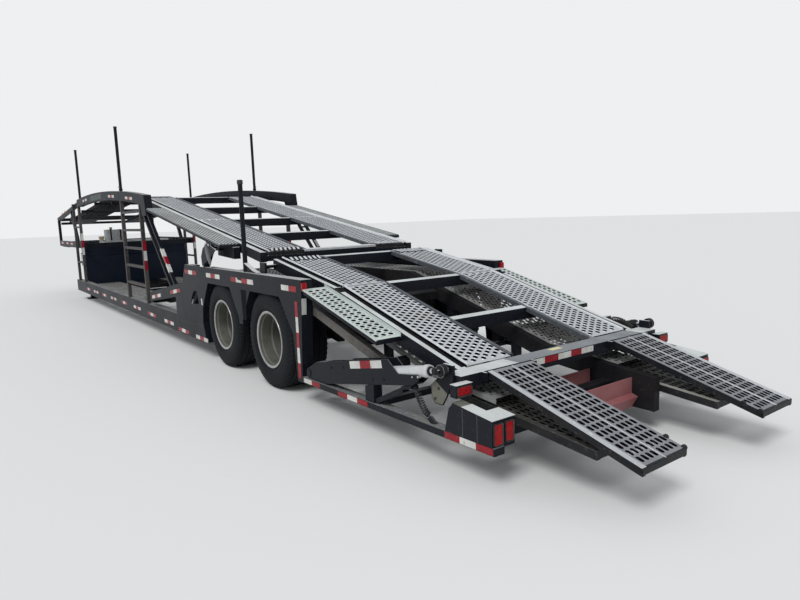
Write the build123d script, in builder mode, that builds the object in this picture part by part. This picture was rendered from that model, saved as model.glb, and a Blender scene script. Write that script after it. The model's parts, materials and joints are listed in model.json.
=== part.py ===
from build123d import *
from math import atan2, degrees, hypot, tan, tau
import os

os.makedirs("parts", exist_ok=True)

# Car transporter semi-trailer, standing alone on its wheels and landing legs.
# Millimetres, +X to the gooseneck's front, +Y to the left side, +Z up.
# The origin is on the ground, midway between nose and ramp tips.

# Overall frame
NOSE_X = 8600
TAIL_X = -8600
HALF_WIDTH = 1295
SIDE_DEPTH = 115
SIDE_INNER_Y = HALF_WIDTH - SIDE_DEPTH
SHEET = 8
PIN_GAP = 0.3

# Wheels and axles
REAR_AXLE_X = -4600
AXLE_SPACING = 1270
TYRE_DIAMETER = 1016
TYRE_WIDTH = 445
WHEEL_INSET = 15
TYRE_OUTER_Y = HALF_WIDTH - WHEEL_INSET
SHOULDER_RADIUS = 45
RIM_SEAT_DIAMETER = 572
RIM_FLANGE_DIAMETER = 597
RIM_WALL = 12
BEAD_INSET = 32
FLANGE_INSET = 18
DISC_INSET = 330
DISC_THICKNESS = 16
HUB_DIAMETER = 230
HUB_LENGTH = 150
HUB_NOSE_DIAMETER = 150
DRUM_DIAMETER = 420
DRUM_WIDTH = 170
HAND_HOLE_DIAMETER = 62
HAND_HOLE_CIRCLE = 430
HAND_HOLE_COUNT = 8
SPINDLE_DIAMETER = 80
AXLE_TUBE_DIAMETER = 127
AXLE_TUBE_HALF = 690
BOGIE_Y = 600
BOGIE_RAIL_WIDTH = 80
BOGIE_X = (-2650, -5080)
SPRING_DIAMETER = 200

# Side sills along the belly
SILL_FRONT_X = 6150
SILL_REAR_X = -2800
SILL_REAR_SLANT = 90
SILL_BOTTOM_Z = 210
SILL_TOP_Z = 460

# Gooseneck, bulkhead, kingpin and legs
BULKHEAD_X = 5650
BULKHEAD_THICKNESS = 50
BULKHEAD_TOP_Z = 1300
BULKHEAD_CREASE_Z = 1010
SHELF_SIZE = (460, 1500)
SHELF_THICKNESS = 60
TANK_SIZE = (280, 420)
TANK_Y = 430
TANK_CORNER = 40
TANK_HEIGHT = 260
NECK_REAR_X = 5122
NECK_INNER_Y = SIDE_INNER_Y
NECK_OUTER_Y = HALF_WIDTH - 55
NECK_BRACE_X = (5950, 6500)
NECK_BOTTOM_Z = 1220
NECK_BEAM_DEPTH = 140
NECK_REAR_TOP_Z = 2315
NECK_FRONT_TOP_Z = 1960
NECK_RAIL_DEPTH = 90
KINGPIN_X = 7700
KINGPIN_DIAMETER = 50.8
KINGPIN_LENGTH = 84
KINGPIN_COLLAR_DIAMETER = 71.5
KINGPIN_COLLAR_LENGTH = 18
COUPLER_PLATE_SIZE = 900
COUPLER_PLATE_THICKNESS = 14
LEG_X = 5850
LEG_Y = HALF_WIDTH - 255
LEG_STAY_Z = (700, 820)
LEG_TUBE = 110
LEG_INNER_TUBE = 90
LEG_TUBE_BOTTOM_Z = 480
LEG_FOOT_SIZE = 240
LEG_FOOT_THICKNESS = 16

# Headrack arch and its poles
ARCH_REAR_X = -420
ARCH_REAR_Z = 2165
ARCH_CREST_X = 2900
ARCH_CREST_Z = 2365
ARCH_DEPTH = 160
GUSSET_BOTTOM_Z = 1850
GUSSET_WIDTH = 160
POLE_Y = HALF_WIDTH - SIDE_DEPTH / 2
POLE_DIAMETER = 50
POLE_TOP_Z = 3400
FRONT_POLE_X = 5060
REAR_POLE_X = 1215
MID_POLE_X = -4050
MID_POLE_TOP_Z = 2150

# Ladders between sill and arch
RAIL_SIZE = 55
RUNG_DEPTH = 40
FRONT_LADDER_X = (5150, 5850)
FRONT_RUNGS_Z = (918, 1725)
REAR_LADDER_X = (-100, 1110)
REAR_RUNG_TOP_Z = 1950
REAR_RUNG_SPACING = 298
REAR_RUNG_COUNT = 5
BRACE_TOP_X = -440
BRACE_FOOT_X = -1770
BRACE_WIDTH = 60
BRACE_SPACING = 230

# Side bodies over the wheels
BODY_TOP_Z = 1175
BODY_RAIL_DEPTH = 115
BODY_FRONT_X = -2142
BODY_REAR_X = -5420
BODY_STRIP_FRONT_X = -5260
BODY_STRIP_REAR_X = -5350
KICK_NOSE_X = -315
KICK_NOSE_TOP_Z = 664
KICK_NOSE_DEPTH = 142
KICK_REAR_X = -1990
KICK_REAR_TOP_Z = 928
BODY_LOWER_FRONT_X = -1635
WHEEL_ARCH_TOP_Z = 985
WHEEL_ARCH_TOP_HALF = 350
WHEEL_ARCH_LOW_HALF = 585
WHEEL_ARCH_KNEE_Z = 655
DIVIDER_BOTTOM_Z = 600
TYRE_CLEARANCE = 30
CUT_OUT = [(-2290, 660), (-2600, 690), (-2565, 850), (-2440, 850), (-2345, 770)]
RAIL_SLOT_X = (-2900, -2410)

# Lower deck, as (x, top z) from the belly to the tail
SPINE_OUTER_Y = 455
LOWER_TRACK_OUTER_Y = HALF_WIDTH - 350
LOWER_TRACK_INNER_Y = SPINE_OUTER_Y + 10
LOWER_TRACK_DEPTH = 40
BELLY_TOP_Z = 360
OVER_WHEELS_Z = 1085
RISE_START_X = 1600
LOWER_DECK_TOP = [
    (5600, BELLY_TOP_Z),
    (RISE_START_X, BELLY_TOP_Z),
    (-2600, OVER_WHEELS_Z),
    (-4850, OVER_WHEELS_Z),
    (-5400, 925),
    (-6800, 530),
    (-7500, 465),
]
SPINE_END = (-7870, 431)
SPINE_WIDTH = 70
SPINE_DEPTH = 140
CROSSMEMBER_WIDTH = 80
CROSSMEMBER_DEPTH = 80
# Red crossplates, as (name, x, length of the hanger behind it), and their bent section as (x, z)
RED_PLATES = [("front", -7286, 110), ("rear", -7678, 192)]
RED_PLATE_THICKNESS = 10
RED_PLATE_BOTTOM_Z = 158
RED_PLATE_TOP_Z = 400
RED_PLATE_LEDGE_Z = 256
RED_PLATE_LEDGE = 55
RED_PLATE_HANGER_Z = (165, 400)

# Slide-out extensions under the lower deck's end
EXTENSION_CLEARANCE = 30
EXTENSION_DEPTH = 55
EXTENSION_FRONT_X = -7000
EXTENSION_REAR_X = -8300
EXTENSION_OUTER_Y = LOWER_TRACK_OUTER_Y - 15
EXTENSION_INNER_Y = LOWER_TRACK_INNER_Y + 15

# Upper decks, as (x, top z) from front to rear
TRACK_OUTER_Y = HALF_WIDTH - 325
TRACK_WIDTH = 470
TRACK_INNER_Y = TRACK_OUTER_Y - TRACK_WIDTH
TRACK_DEPTH = 45
TRACK_PLATE = 6
TRACK_LIP_WIDTH = 36
TRACK_LIP_RISE = 26
DECK_RAIL_WIDTH = 80
DECK_RAIL_OUTER_Y = TRACK_OUTER_Y + DECK_RAIL_WIDTH
DECK_RAIL_DEPTH = 110
DECK_BAR_WIDTH = 60
DECK_BAR_DEPTH = 60
HEAD_DECK_TOP = [(8500, 1880), (3900, 2255), (760, 2180)]
FRONT_DECK_TOP = [(700, 2170), (-4030, 1370)]
FRONT_DECK_HINGE = (700, 2115)
FRONT_DECK_BARS_X = (640, -600, -1800, -2950, -3990)
WALKWAY_X = (-500, -3450)
WALKWAY_OUTER_Y = HALF_WIDTH - 5
WALKWAY_DROP = 15
WALKWAY_DEPTH = 35
WALKWAY_RIB_COUNT = 6
WALKWAY_RIB_HEIGHT = 10
REAR_DECK_TOP = [(-4350, 1310), (-5590, 1092), (-7240, 640)]
REAR_DECK_HINGE = (-4410, 1240)
REAR_DECK_BARS_X = (-4380, -5590, -6500)
REAR_BAR_X = (-7240, -7400)
REAR_BAR_DEPTH = 90
REAR_BAR_HALF = HALF_WIDTH - 130
LAMP_BOX_LENGTH = 60
LAMP_BOX_Y = (REAR_BAR_HALF + 100, REAR_BAR_HALF - 45)
LINK_PLATE_THICKNESS = 12
LAMP_BOX_Z = (520, 605)
PLATFORM_TOP = [(-5450, 1078), (-6587, 780)]
PLATFORM_DEPTH = 30
HINGE_PIN_DIAMETER = 36

# Ramps hinged on the rear bar
RAMP_OUTER_Y = TRACK_OUTER_Y - 25
RAMP_INNER_Y = TRACK_INNER_Y - 7
RAMP_LUG_BOTTOM_Z = 580
RAMP_HINGE = (-7424, 622)
RAMP_PIN_DIAMETER = 20
RAMP_BARREL_DIAMETER = 40
RAMP_TOP = [(-7432, 642), (TAIL_X, 318)]
RAMP_DEPTH = 48
RAMP_SLOT_ROWS = 16
RAMP_SLOT_LENGTH = 150
RAMP_SLOT_WIDTH = 26

# Lift arms of the rear deck and lift cylinders of the front deck
ARM_PIVOT = (-5470, 325)
ARM_EYE = (-7290, 672)
ARM_OUTER_Y = HALF_WIDTH - 10
ARM_WIDTH = 95
ARM_INNER_Y = ARM_OUTER_Y - ARM_WIDTH
ARM_LUG_BOTTOM_Z = 560
ARM_END_RADIUS = 47
ARM_PIN_DIAMETER = 40
FRONT_LIFT_PIVOT = (-2200, 560)
FRONT_LIFT_EYE = (-3050, 1415)
LEAF_OUTER_Y = HALF_WIDTH - 7
LEAF_THICKNESS = 9
FRONT_LIFT_Y = HALF_WIDTH - 63
BARREL_DIAMETER = 80
ROD_DIAMETER = 45
EYE_DIAMETER = 90
EYE_THICKNESS = 40
EYE_PIN_DIAMETER = 26
EYE_PLAY = 32
FOOT_PIN_DIAMETER = 30
FOOT_DIAMETER = 100
FOOT_WIDTH = 60
ROD_CLEARANCE = 0.4

# Rear low frame and tail boxes
REAR_SILL_OUTER_Y = HALF_WIDTH
REAR_SILL_INNER_Y = HALF_WIDTH - 90
REAR_SILL_TOP_Z = 268
REAR_SILL_DEPTH = 50
REAR_SILL_FRONT_X = -5350
REAR_SILL_REAR_X = -7830
REAR_SILL_RISE = 24
TAIL_BOX_X = (-7450, -7814)
TAIL_BOX_TOP_Z = (500, 462)
TAIL_BOX_BOTTOM_Z = 280
TAIL_BOX_REAR_LENGTH = 137
TAIL_BOX_INNER_Y = HALF_WIDTH - 198
OUTRIGGER_X = (-5520, -6430, -7560)
ARM_REST_X = (-6400, -6520)
ARM_REST_TOP_Z = (399, 422)
ARM_REST_STRUT = ((-6500, 280), (-6880, 462))
HOSE_BRACKET = ((-6870, 474), (-6992, 500))

# Curly cords, each one a tube of its outer diameter, as (x, z) control points at one Y
CURLY_DIAMETER = 50
GLAND_DIAMETER = 40
GLAND_LENGTH = 22
SOCKET_LENGTH = 70
CURLY_LEFT_Y = HALF_WIDTH - 48
CURLY_LEFT = [(-7015, 490), (-7040.4, 437.9), (-7072.8, 389.8), (-7113.1, 348.1), (-7161.2, 315.7)]
CURLY_RIGHT_Y = 50 - REAR_BAR_HALF
CURLY_RIGHT = [(-6966, 690), (-7034, 700), (-7100, 690), (-7164, 658), (-7222, 621)]
CURLY_BLOCK = (-6962, -6915, 655, 718)

# Mid axle positions, as (name, x)
AXLES = [("front", REAR_AXLE_X + AXLE_SPACING), ("rear", REAR_AXLE_X)]
AXLE_Z = TYRE_DIAMETER / 2


def level(profile, x):
    """Height of a line of (x, z) points at one station."""
    spans = zip(profile, profile[1:])
    for (x0, z0), (x1, z1) in spans:
        if min(x0, x1) <= x <= max(x0, x1):
            return z0 + (z1 - z0) * (x - x0) / (x1 - x0)
    raise ValueError("station off the profile")


def clipped(profile, x_front, x_rear):
    """The stretch of a profile between two stations."""
    inner = [(x, z) for x, z in profile if x_rear < x < x_front]
    return [(x_front, level(profile, x_front)), *inner, (x_rear, level(profile, x_rear))]


def lowered(profile, drop):
    return [(x, z - drop) for x, z in profile]


def band(profile, depth):
    """Closed outline of a strip that hangs under a profile."""
    return profile + lowered(profile, depth)[::-1]


def slab(outline, outer_y, inner_y, mode=Mode.ADD):
    """Outline in X and Z, from one Y to another."""
    with BuildSketch(Plane.XZ.offset(-outer_y)) as face:
        with BuildLine():
            Polyline(*outline, close=True)
        make_face()
    extrude(face.sketch, amount=outer_y - inner_y, mode=mode)


def member(start, end, depth, outer_y, inner_y):
    """Straight bar between two points of the XZ plane."""
    run = (end[0] - start[0], end[1] - start[1])
    middle = ((start[0] + end[0]) / 2, (start[1] + end[1]) / 2)
    with BuildSketch(Plane.XZ.offset(-outer_y)) as face:
        with Locations(middle):
            Rectangle(hypot(*run), depth, rotation=degrees(atan2(run[1], run[0])))
    extrude(face.sketch, amount=outer_y - inner_y)


def crossbar(x, top_z, width, depth, half):
    """Level bar across the trailer."""
    slab(box_outline(x - width / 2, x + width / 2, top_z - depth, top_z), half, -half)


def crossmember(profile, x, drop, depth, width, half):
    """Bar across the trailer whose top lies a drop under a profile and follows it."""
    stretch = clipped(profile, x + width / 2, x - width / 2)
    slab(band(lowered(stretch, drop), depth), half, -half)


def box_outline(x0, x1, z0, z1):
    return [(x0, z0), (x1, z0), (x1, z1), (x0, z1)]


def reach(side, outer, inner):
    """The two Y ends of a piece on one side, the more leftward first."""
    return max(side * outer, side * inner), min(side * outer, side * inner)


def round_bar(x, z, outer_y, inner_y, diameter, mode=Mode.ADD):
    """Cylinder along Y."""
    with BuildSketch(Plane.XZ.offset(-outer_y)) as face:
        with Locations((x, z)):
            Circle(diameter / 2)
    extrude(face.sketch, amount=outer_y - inner_y, mode=mode)


def tray(profile, outer_y, inner_y, depth, plate):
    """Track: a plate with a lip down each side."""
    slab(band(profile, depth), outer_y, inner_y)
    hollow = lowered(profile, plate)
    slab(band(hollow, depth), outer_y - plate, inner_y + plate, mode=Mode.SUBTRACT)


def save(piece, name):
    piece.part.label = name
    export_step(piece.part, f"parts/{name}.step")


def save_pair(left, name):
    save(left, f"{name}_left")
    with BuildPart() as right:
        mirror(left.part, about=Plane.XZ)
    save(right, f"{name}_right")


# Wheels: a tyre and a dished rim with hub and drum, four of each
wheel_inner_y = TYRE_OUTER_Y - TYRE_WIDTH
seat_r = RIM_SEAT_DIAMETER / 2
flange_r = RIM_FLANGE_DIAMETER / 2
tyre_r = TYRE_DIAMETER / 2
bore_r = SPINDLE_DIAMETER / 2 + PIN_GAP
disc_y = TYRE_OUTER_Y - DISC_INSET

for axle_name, axle_x in AXLES:
    wheel_plane = Plane(origin=(axle_x, 0, AXLE_Z), x_dir=(0, 1, 0), z_dir=(1, 0, 0))
    wheel_axis = Axis((axle_x, 0, AXLE_Z), (0, 1, 0))

    with BuildPart() as tyre:
        with BuildSketch(wheel_plane):
            with BuildLine():
                Polyline(
                    (TYRE_OUTER_Y - BEAD_INSET, seat_r + PIN_GAP),
                    (TYRE_OUTER_Y - BEAD_INSET, flange_r + 4),
                    (TYRE_OUTER_Y, seat_r + 80),
                    (TYRE_OUTER_Y - 4, tyre_r - SHOULDER_RADIUS),
                    (TYRE_OUTER_Y - SHOULDER_RADIUS, tyre_r),
                    (wheel_inner_y + SHOULDER_RADIUS, tyre_r),
                    (wheel_inner_y + 4, tyre_r - SHOULDER_RADIUS),
                    (wheel_inner_y, seat_r + 80),
                    (wheel_inner_y + BEAD_INSET, flange_r + 4),
                    (wheel_inner_y + BEAD_INSET, seat_r + PIN_GAP),
                    close=True,
                )
            make_face()
        revolve(axis=wheel_axis)
    save_pair(tyre, f"tyre_{axle_name}")

    with BuildPart() as rim:
        with BuildSketch(wheel_plane):
            with BuildLine():
                Polyline(
                    (TYRE_OUTER_Y - FLANGE_INSET, flange_r),
                    (TYRE_OUTER_Y - FLANGE_INSET, seat_r - RIM_WALL),
                    (disc_y + DISC_THICKNESS, seat_r - 2 * RIM_WALL),
                    (disc_y + DISC_THICKNESS, HUB_DIAMETER / 2),
                    (disc_y + DISC_THICKNESS + 40, HUB_DIAMETER / 2 - 12),
                    (disc_y + DISC_THICKNESS + 45, HUB_NOSE_DIAMETER / 2),
                    (disc_y + HUB_LENGTH, HUB_NOSE_DIAMETER / 2 - 10),
                    (disc_y + HUB_LENGTH, 0),
                    (disc_y + HUB_LENGTH - 20, 0),
                    (disc_y + HUB_LENGTH - 20, bore_r),
                    (disc_y - DRUM_WIDTH, bore_r),
                    (disc_y - DRUM_WIDTH, DRUM_DIAMETER / 2),
                    (disc_y, DRUM_DIAMETER / 2),
                    (disc_y, seat_r - RIM_WALL),
                    (wheel_inner_y + FLANGE_INSET, seat_r - RIM_WALL),
                    (wheel_inner_y + FLANGE_INSET, flange_r),
                    (wheel_inner_y + BEAD_INSET - PIN_GAP, flange_r),
                    (wheel_inner_y + BEAD_INSET - PIN_GAP, seat_r),
                    (TYRE_OUTER_Y - BEAD_INSET + PIN_GAP, seat_r),
                    (TYRE_OUTER_Y - BEAD_INSET + PIN_GAP, flange_r),
                    close=True,
                )
            make_face()
        revolve(axis=wheel_axis)
        with BuildSketch(Plane(origin=(axle_x, disc_y + DISC_THICKNESS, AXLE_Z), z_dir=(0, 1, 0))):
            with PolarLocations(HAND_HOLE_CIRCLE / 2, HAND_HOLE_COUNT):
                Circle(HAND_HOLE_DIAMETER / 2)
        extrude(amount=-DISC_THICKNESS, mode=Mode.SUBTRACT)
    save_pair(rim, f"rim_{axle_name}")

    # Axle: tube between the drums, turned spindles inside the hubs
    with BuildPart() as axle:
        round_bar(axle_x, AXLE_Z, AXLE_TUBE_HALF, -AXLE_TUBE_HALF, AXLE_TUBE_DIAMETER)
        spindle_half = disc_y + HUB_LENGTH - 25
        round_bar(axle_x, AXLE_Z, spindle_half, -spindle_half, SPINDLE_DIAMETER)
    save(axle, f"axle_{axle_name}")

# Bogie: frame rails under the lower deck, hangers, trailing arms and air springs
bogie_top_z = OVER_WHEELS_Z - LOWER_TRACK_DEPTH - CROSSMEMBER_DEPTH
with BuildPart() as bogie:
    for side in (1, -1):
        rail_y = (side * BOGIE_Y + BOGIE_RAIL_WIDTH / 2, side * BOGIE_Y - BOGIE_RAIL_WIDTH / 2)
        slab(box_outline(*BOGIE_X, bogie_top_z - 115, bogie_top_z), *rail_y)
        for _, axle_x in AXLES:
            hanger_x = axle_x + 480
            member((hanger_x, bogie_top_z - 60), (hanger_x, 560), 110, *rail_y)
            member((hanger_x, 590), (axle_x - 330, 470), 70, *rail_y)
            round_bar(axle_x, AXLE_Z, *rail_y, AXLE_TUBE_DIAMETER + 60)
            round_bar(axle_x, AXLE_Z, *rail_y, AXLE_TUBE_DIAMETER + PIN_GAP, mode=Mode.SUBTRACT)
            with BuildSketch(Plane.XY.offset(480)):
                with Locations((axle_x - 270, side * BOGIE_Y)):
                    Circle(SPRING_DIAMETER / 2)
            extrude(amount=bogie_top_z - 100 - 480)
    for _, axle_x in AXLES:
        crossbar(axle_x + 480, OVER_WHEELS_Z - SPINE_DEPTH, 80, 90, BOGIE_Y + 40)
save(bogie, "bogie")

# Side sills: channels open to the inside
with BuildPart() as sill:
    sill_outline = [
        (SILL_FRONT_X, SILL_TOP_Z),
        (SILL_FRONT_X, SILL_BOTTOM_Z),
        (SILL_REAR_X, SILL_BOTTOM_Z),
        (SILL_REAR_X + SILL_REAR_SLANT, SILL_TOP_Z),
    ]
    slab(sill_outline, HALF_WIDTH, SIDE_INNER_Y)
    slab(
        box_outline(
            SILL_REAR_X + SILL_REAR_SLANT,
            SILL_FRONT_X - SHEET,
            SILL_BOTTOM_Z + SHEET,
            SILL_TOP_Z - SHEET,
        ),
        HALF_WIDTH - SHEET,
        SIDE_INNER_Y,
        mode=Mode.SUBTRACT,
    )
save_pair(sill, "side_sill")


# Side bodies: pressed trays with two wheel arches, a cut-out and the kick-up beam
def body_outline(top_z):
    outline = [
        (BODY_FRONT_X, top_z),
        (KICK_REAR_X, KICK_REAR_TOP_Z),
        (KICK_NOSE_X, KICK_NOSE_TOP_Z),
        (KICK_NOSE_X, KICK_NOSE_TOP_Z - KICK_NOSE_DEPTH),
        (BODY_LOWER_FRONT_X, 705),
        (BODY_LOWER_FRONT_X, SILL_TOP_Z),
    ]
    front_x = REAR_AXLE_X + AXLE_SPACING
    outline += [
        (front_x + WHEEL_ARCH_LOW_HALF + 35, SILL_TOP_Z),
        (front_x + WHEEL_ARCH_LOW_HALF, WHEEL_ARCH_KNEE_Z),
        (front_x + WHEEL_ARCH_TOP_HALF, WHEEL_ARCH_TOP_Z),
        (front_x - WHEEL_ARCH_TOP_HALF, WHEEL_ARCH_TOP_Z),
        (front_x - WHEEL_ARCH_LOW_HALF, WHEEL_ARCH_KNEE_Z),
        (front_x - WHEEL_ARCH_LOW_HALF, DIVIDER_BOTTOM_Z),
        (REAR_AXLE_X + WHEEL_ARCH_LOW_HALF, DIVIDER_BOTTOM_Z),
        (REAR_AXLE_X + WHEEL_ARCH_LOW_HALF, WHEEL_ARCH_KNEE_Z),
        (REAR_AXLE_X + WHEEL_ARCH_TOP_HALF, WHEEL_ARCH_TOP_Z),
        (REAR_AXLE_X - WHEEL_ARCH_TOP_HALF, WHEEL_ARCH_TOP_Z),
        (REAR_AXLE_X - WHEEL_ARCH_LOW_HALF - 25, WHEEL_ARCH_KNEE_Z),
        (BODY_STRIP_FRONT_X, SILL_BOTTOM_Z),
        (BODY_STRIP_REAR_X, SILL_BOTTOM_Z),
        (BODY_REAR_X, BODY_TOP_Z - BODY_RAIL_DEPTH),
        (BODY_REAR_X, top_z),
    ]
    return outline


with BuildPart() as side_body:
    with BuildSketch(Plane.XZ.offset(-HALF_WIDTH)):
        with BuildLine():
            Polyline(*body_outline(BODY_TOP_Z), close=True)
        make_face()
    extrude(amount=HALF_WIDTH - SIDE_INNER_Y)
    with BuildSketch(Plane.XZ.offset(SHEET - HALF_WIDTH)):
        with BuildLine():
            Polyline(*body_outline(BODY_TOP_Z - BODY_RAIL_DEPTH + SHEET), close=True)
        make_face()
        offset(amount=-SHEET, kind=Kind.INTERSECTION, mode=Mode.REPLACE)
    extrude(amount=HALF_WIDTH - SIDE_INNER_Y, mode=Mode.SUBTRACT)
    slab(CUT_OUT, HALF_WIDTH, SIDE_INNER_Y, mode=Mode.SUBTRACT)
    for _, axle_x in AXLES:
        round_bar(
            axle_x,
            AXLE_Z,
            HALF_WIDTH - SHEET,
            SIDE_INNER_Y,
            TYRE_DIAMETER + 2 * TYRE_CLEARANCE,
            mode=Mode.SUBTRACT,
        )
    slab(
        box_outline(*RAIL_SLOT_X, BODY_TOP_Z - BODY_RAIL_DEPTH - SHEET, BODY_TOP_Z + SHEET),
        HALF_WIDTH - SHEET,
        SIDE_INNER_Y,
        mode=Mode.SUBTRACT,
    )
    slab(
        box_outline(
            REAR_DECK_HINGE[0] - 60, REAR_DECK_HINGE[0] + 60, BODY_TOP_Z, REAR_DECK_HINGE[1] + 45
        ),
        SIDE_INNER_Y + 25,
        SIDE_INNER_Y,
    )
    round_bar(*REAR_DECK_HINGE, SIDE_INNER_Y + 25, TRACK_OUTER_Y + 5, HINGE_PIN_DIAMETER)
    round_bar(*FRONT_LIFT_PIVOT, HALF_WIDTH - SHEET, SIDE_INNER_Y + 5, FOOT_PIN_DIAMETER)
save_pair(side_body, "side_body")

# Lower deck: two tracks on a spine frame with crossmembers out to the sides
spine_top = LOWER_DECK_TOP[:-1] + [SPINE_END]
side_reach = HALF_WIDTH - SHEET
extension_drop = LOWER_TRACK_DEPTH + EXTENSION_CLEARANCE
# Crossmembers: station, half length, drop under the deck's top
CROSSMEMBERS = [
    (5540, side_reach, LOWER_TRACK_DEPTH),
    (4600, side_reach, LOWER_TRACK_DEPTH),
    (3600, side_reach, LOWER_TRACK_DEPTH),
    (2600, side_reach, LOWER_TRACK_DEPTH),
    (1700, side_reach, LOWER_TRACK_DEPTH),
    (600, SIDE_INNER_Y - 80, LOWER_TRACK_DEPTH),
    (-500, side_reach, LOWER_TRACK_DEPTH),
    (-1300, side_reach, LOWER_TRACK_DEPTH + 25),
    (-2070, side_reach, LOWER_TRACK_DEPTH + 25),
    (-2700, SIDE_INNER_Y - 10, LOWER_TRACK_DEPTH),
    (-3965, BOGIE_Y + 200, LOWER_TRACK_DEPTH),
    (-5300, side_reach, LOWER_TRACK_DEPTH),
    (-6000, LOWER_TRACK_OUTER_Y + 55, LOWER_TRACK_DEPTH),
    (-7450, LOWER_TRACK_OUTER_Y + 55, extension_drop + EXTENSION_DEPTH + PIN_GAP),
]
# Its frame is in two stretches that meet where the deck starts to rise: name, front and rear end
FRAME_STRETCHES = [
    ("belly_frame", LOWER_DECK_TOP[0][0], RISE_START_X, []),
    ("lower_deck_frame", RISE_START_X, SPINE_END[0], RED_PLATES),
]
for frame_name, front_x, rear_x, plates in FRAME_STRETCHES:
    stretch = clipped(spine_top, front_x, rear_x)
    with BuildPart() as lower_frame:
        for inner_y in (SPINE_OUTER_Y - SPINE_WIDTH, -SPINE_OUTER_Y):
            spine_y = (inner_y + SPINE_WIDTH, inner_y)
            slab(band(stretch, SPINE_DEPTH), *spine_y)
            for _, x, hanger in plates:
                hanger_x = (x - hanger, x + RED_PLATE_THICKNESS)
                slab(box_outline(*hanger_x, *RED_PLATE_HANGER_Z), *spine_y)
        for x, half, drop in CROSSMEMBERS:
            if rear_x < x < front_x:
                crossmember(LOWER_DECK_TOP, x, drop, CROSSMEMBER_DEPTH, CROSSMEMBER_WIDTH, half)
    save(lower_frame, frame_name)

with BuildPart() as lower_track:
    tray(LOWER_DECK_TOP, LOWER_TRACK_OUTER_Y, LOWER_TRACK_INNER_Y, LOWER_TRACK_DEPTH, TRACK_PLATE)
save_pair(lower_track, "lower_deck_track")

# Red crossplates between the hangers, bent out to a ledge half way down
plate_half = SPINE_OUTER_Y - SPINE_WIDTH
for plate_name, x, _ in RED_PLATES:
    ledge_outer = (x - RED_PLATE_LEDGE, RED_PLATE_LEDGE_Z)
    ledge_inner = (x - RED_PLATE_LEDGE + 1.5 * RED_PLATE_THICKNESS, RED_PLATE_LEDGE_Z - 5)
    plate_outline = [
        (x, RED_PLATE_TOP_Z),
        (x, RED_PLATE_LEDGE_Z + 19),
        ledge_outer,
        (x, RED_PLATE_BOTTOM_Z),
        (x + RED_PLATE_THICKNESS, RED_PLATE_BOTTOM_Z),
        ledge_inner,
        (x + RED_PLATE_THICKNESS, RED_PLATE_LEDGE_Z + 12),
        (x + RED_PLATE_THICKNESS, RED_PLATE_TOP_Z),
    ]
    with BuildPart() as red_plate:
        slab(plate_outline, plate_half, -plate_half)
    save(red_plate, f"red_crossplate_{plate_name}")

# Slide-out extensions of the lower deck, parallel to its last stretch
(deck_x0, deck_z0), (deck_x1, deck_z1) = LOWER_DECK_TOP[-2:]
slide_slope = (deck_z0 - deck_z1) / (deck_x0 - deck_x1)
extension_line = [
    (x, deck_z1 + slide_slope * (x - deck_x1) - extension_drop)
    for x in (EXTENSION_FRONT_X, EXTENSION_REAR_X)
]
with BuildPart() as extension:
    tray(extension_line, EXTENSION_OUTER_Y, EXTENSION_INNER_Y, EXTENSION_DEPTH, TRACK_PLATE)
save_pair(extension, "lower_extension")

# Bulkhead of the belly, creased half way up, with the power pack's tank on its shelf
with BuildPart() as bulkhead:
    bulkhead_outline = [
        (BULKHEAD_X, BULKHEAD_TOP_Z),
        (BULKHEAD_X + BULKHEAD_THICKNESS, BULKHEAD_TOP_Z),
        (BULKHEAD_X + BULKHEAD_THICKNESS, BELLY_TOP_Z - SPINE_DEPTH),
        (BULKHEAD_X - 30, BELLY_TOP_Z - SPINE_DEPTH),
        (BULKHEAD_X - 30, BULKHEAD_CREASE_Z),
        (BULKHEAD_X, BULKHEAD_CREASE_Z + 20),
    ]
    slab(bulkhead_outline, SIDE_INNER_Y, -SIDE_INNER_Y)
save(bulkhead, "bulkhead")

with BuildPart() as tank:
    with BuildSketch(Plane.XY.offset(BULKHEAD_TOP_Z)):
        with Locations((BULKHEAD_X + 120, 0)):
            Rectangle(*SHELF_SIZE)
    extrude(amount=SHELF_THICKNESS)
    with BuildSketch(Plane.XY.offset(BULKHEAD_TOP_Z + SHELF_THICKNESS)):
        with Locations((BULKHEAD_X + 190, TANK_Y)):
            RectangleRounded(*TANK_SIZE, TANK_CORNER)
    extrude(amount=TANK_HEIGHT)
save(tank, "power_pack")

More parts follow.
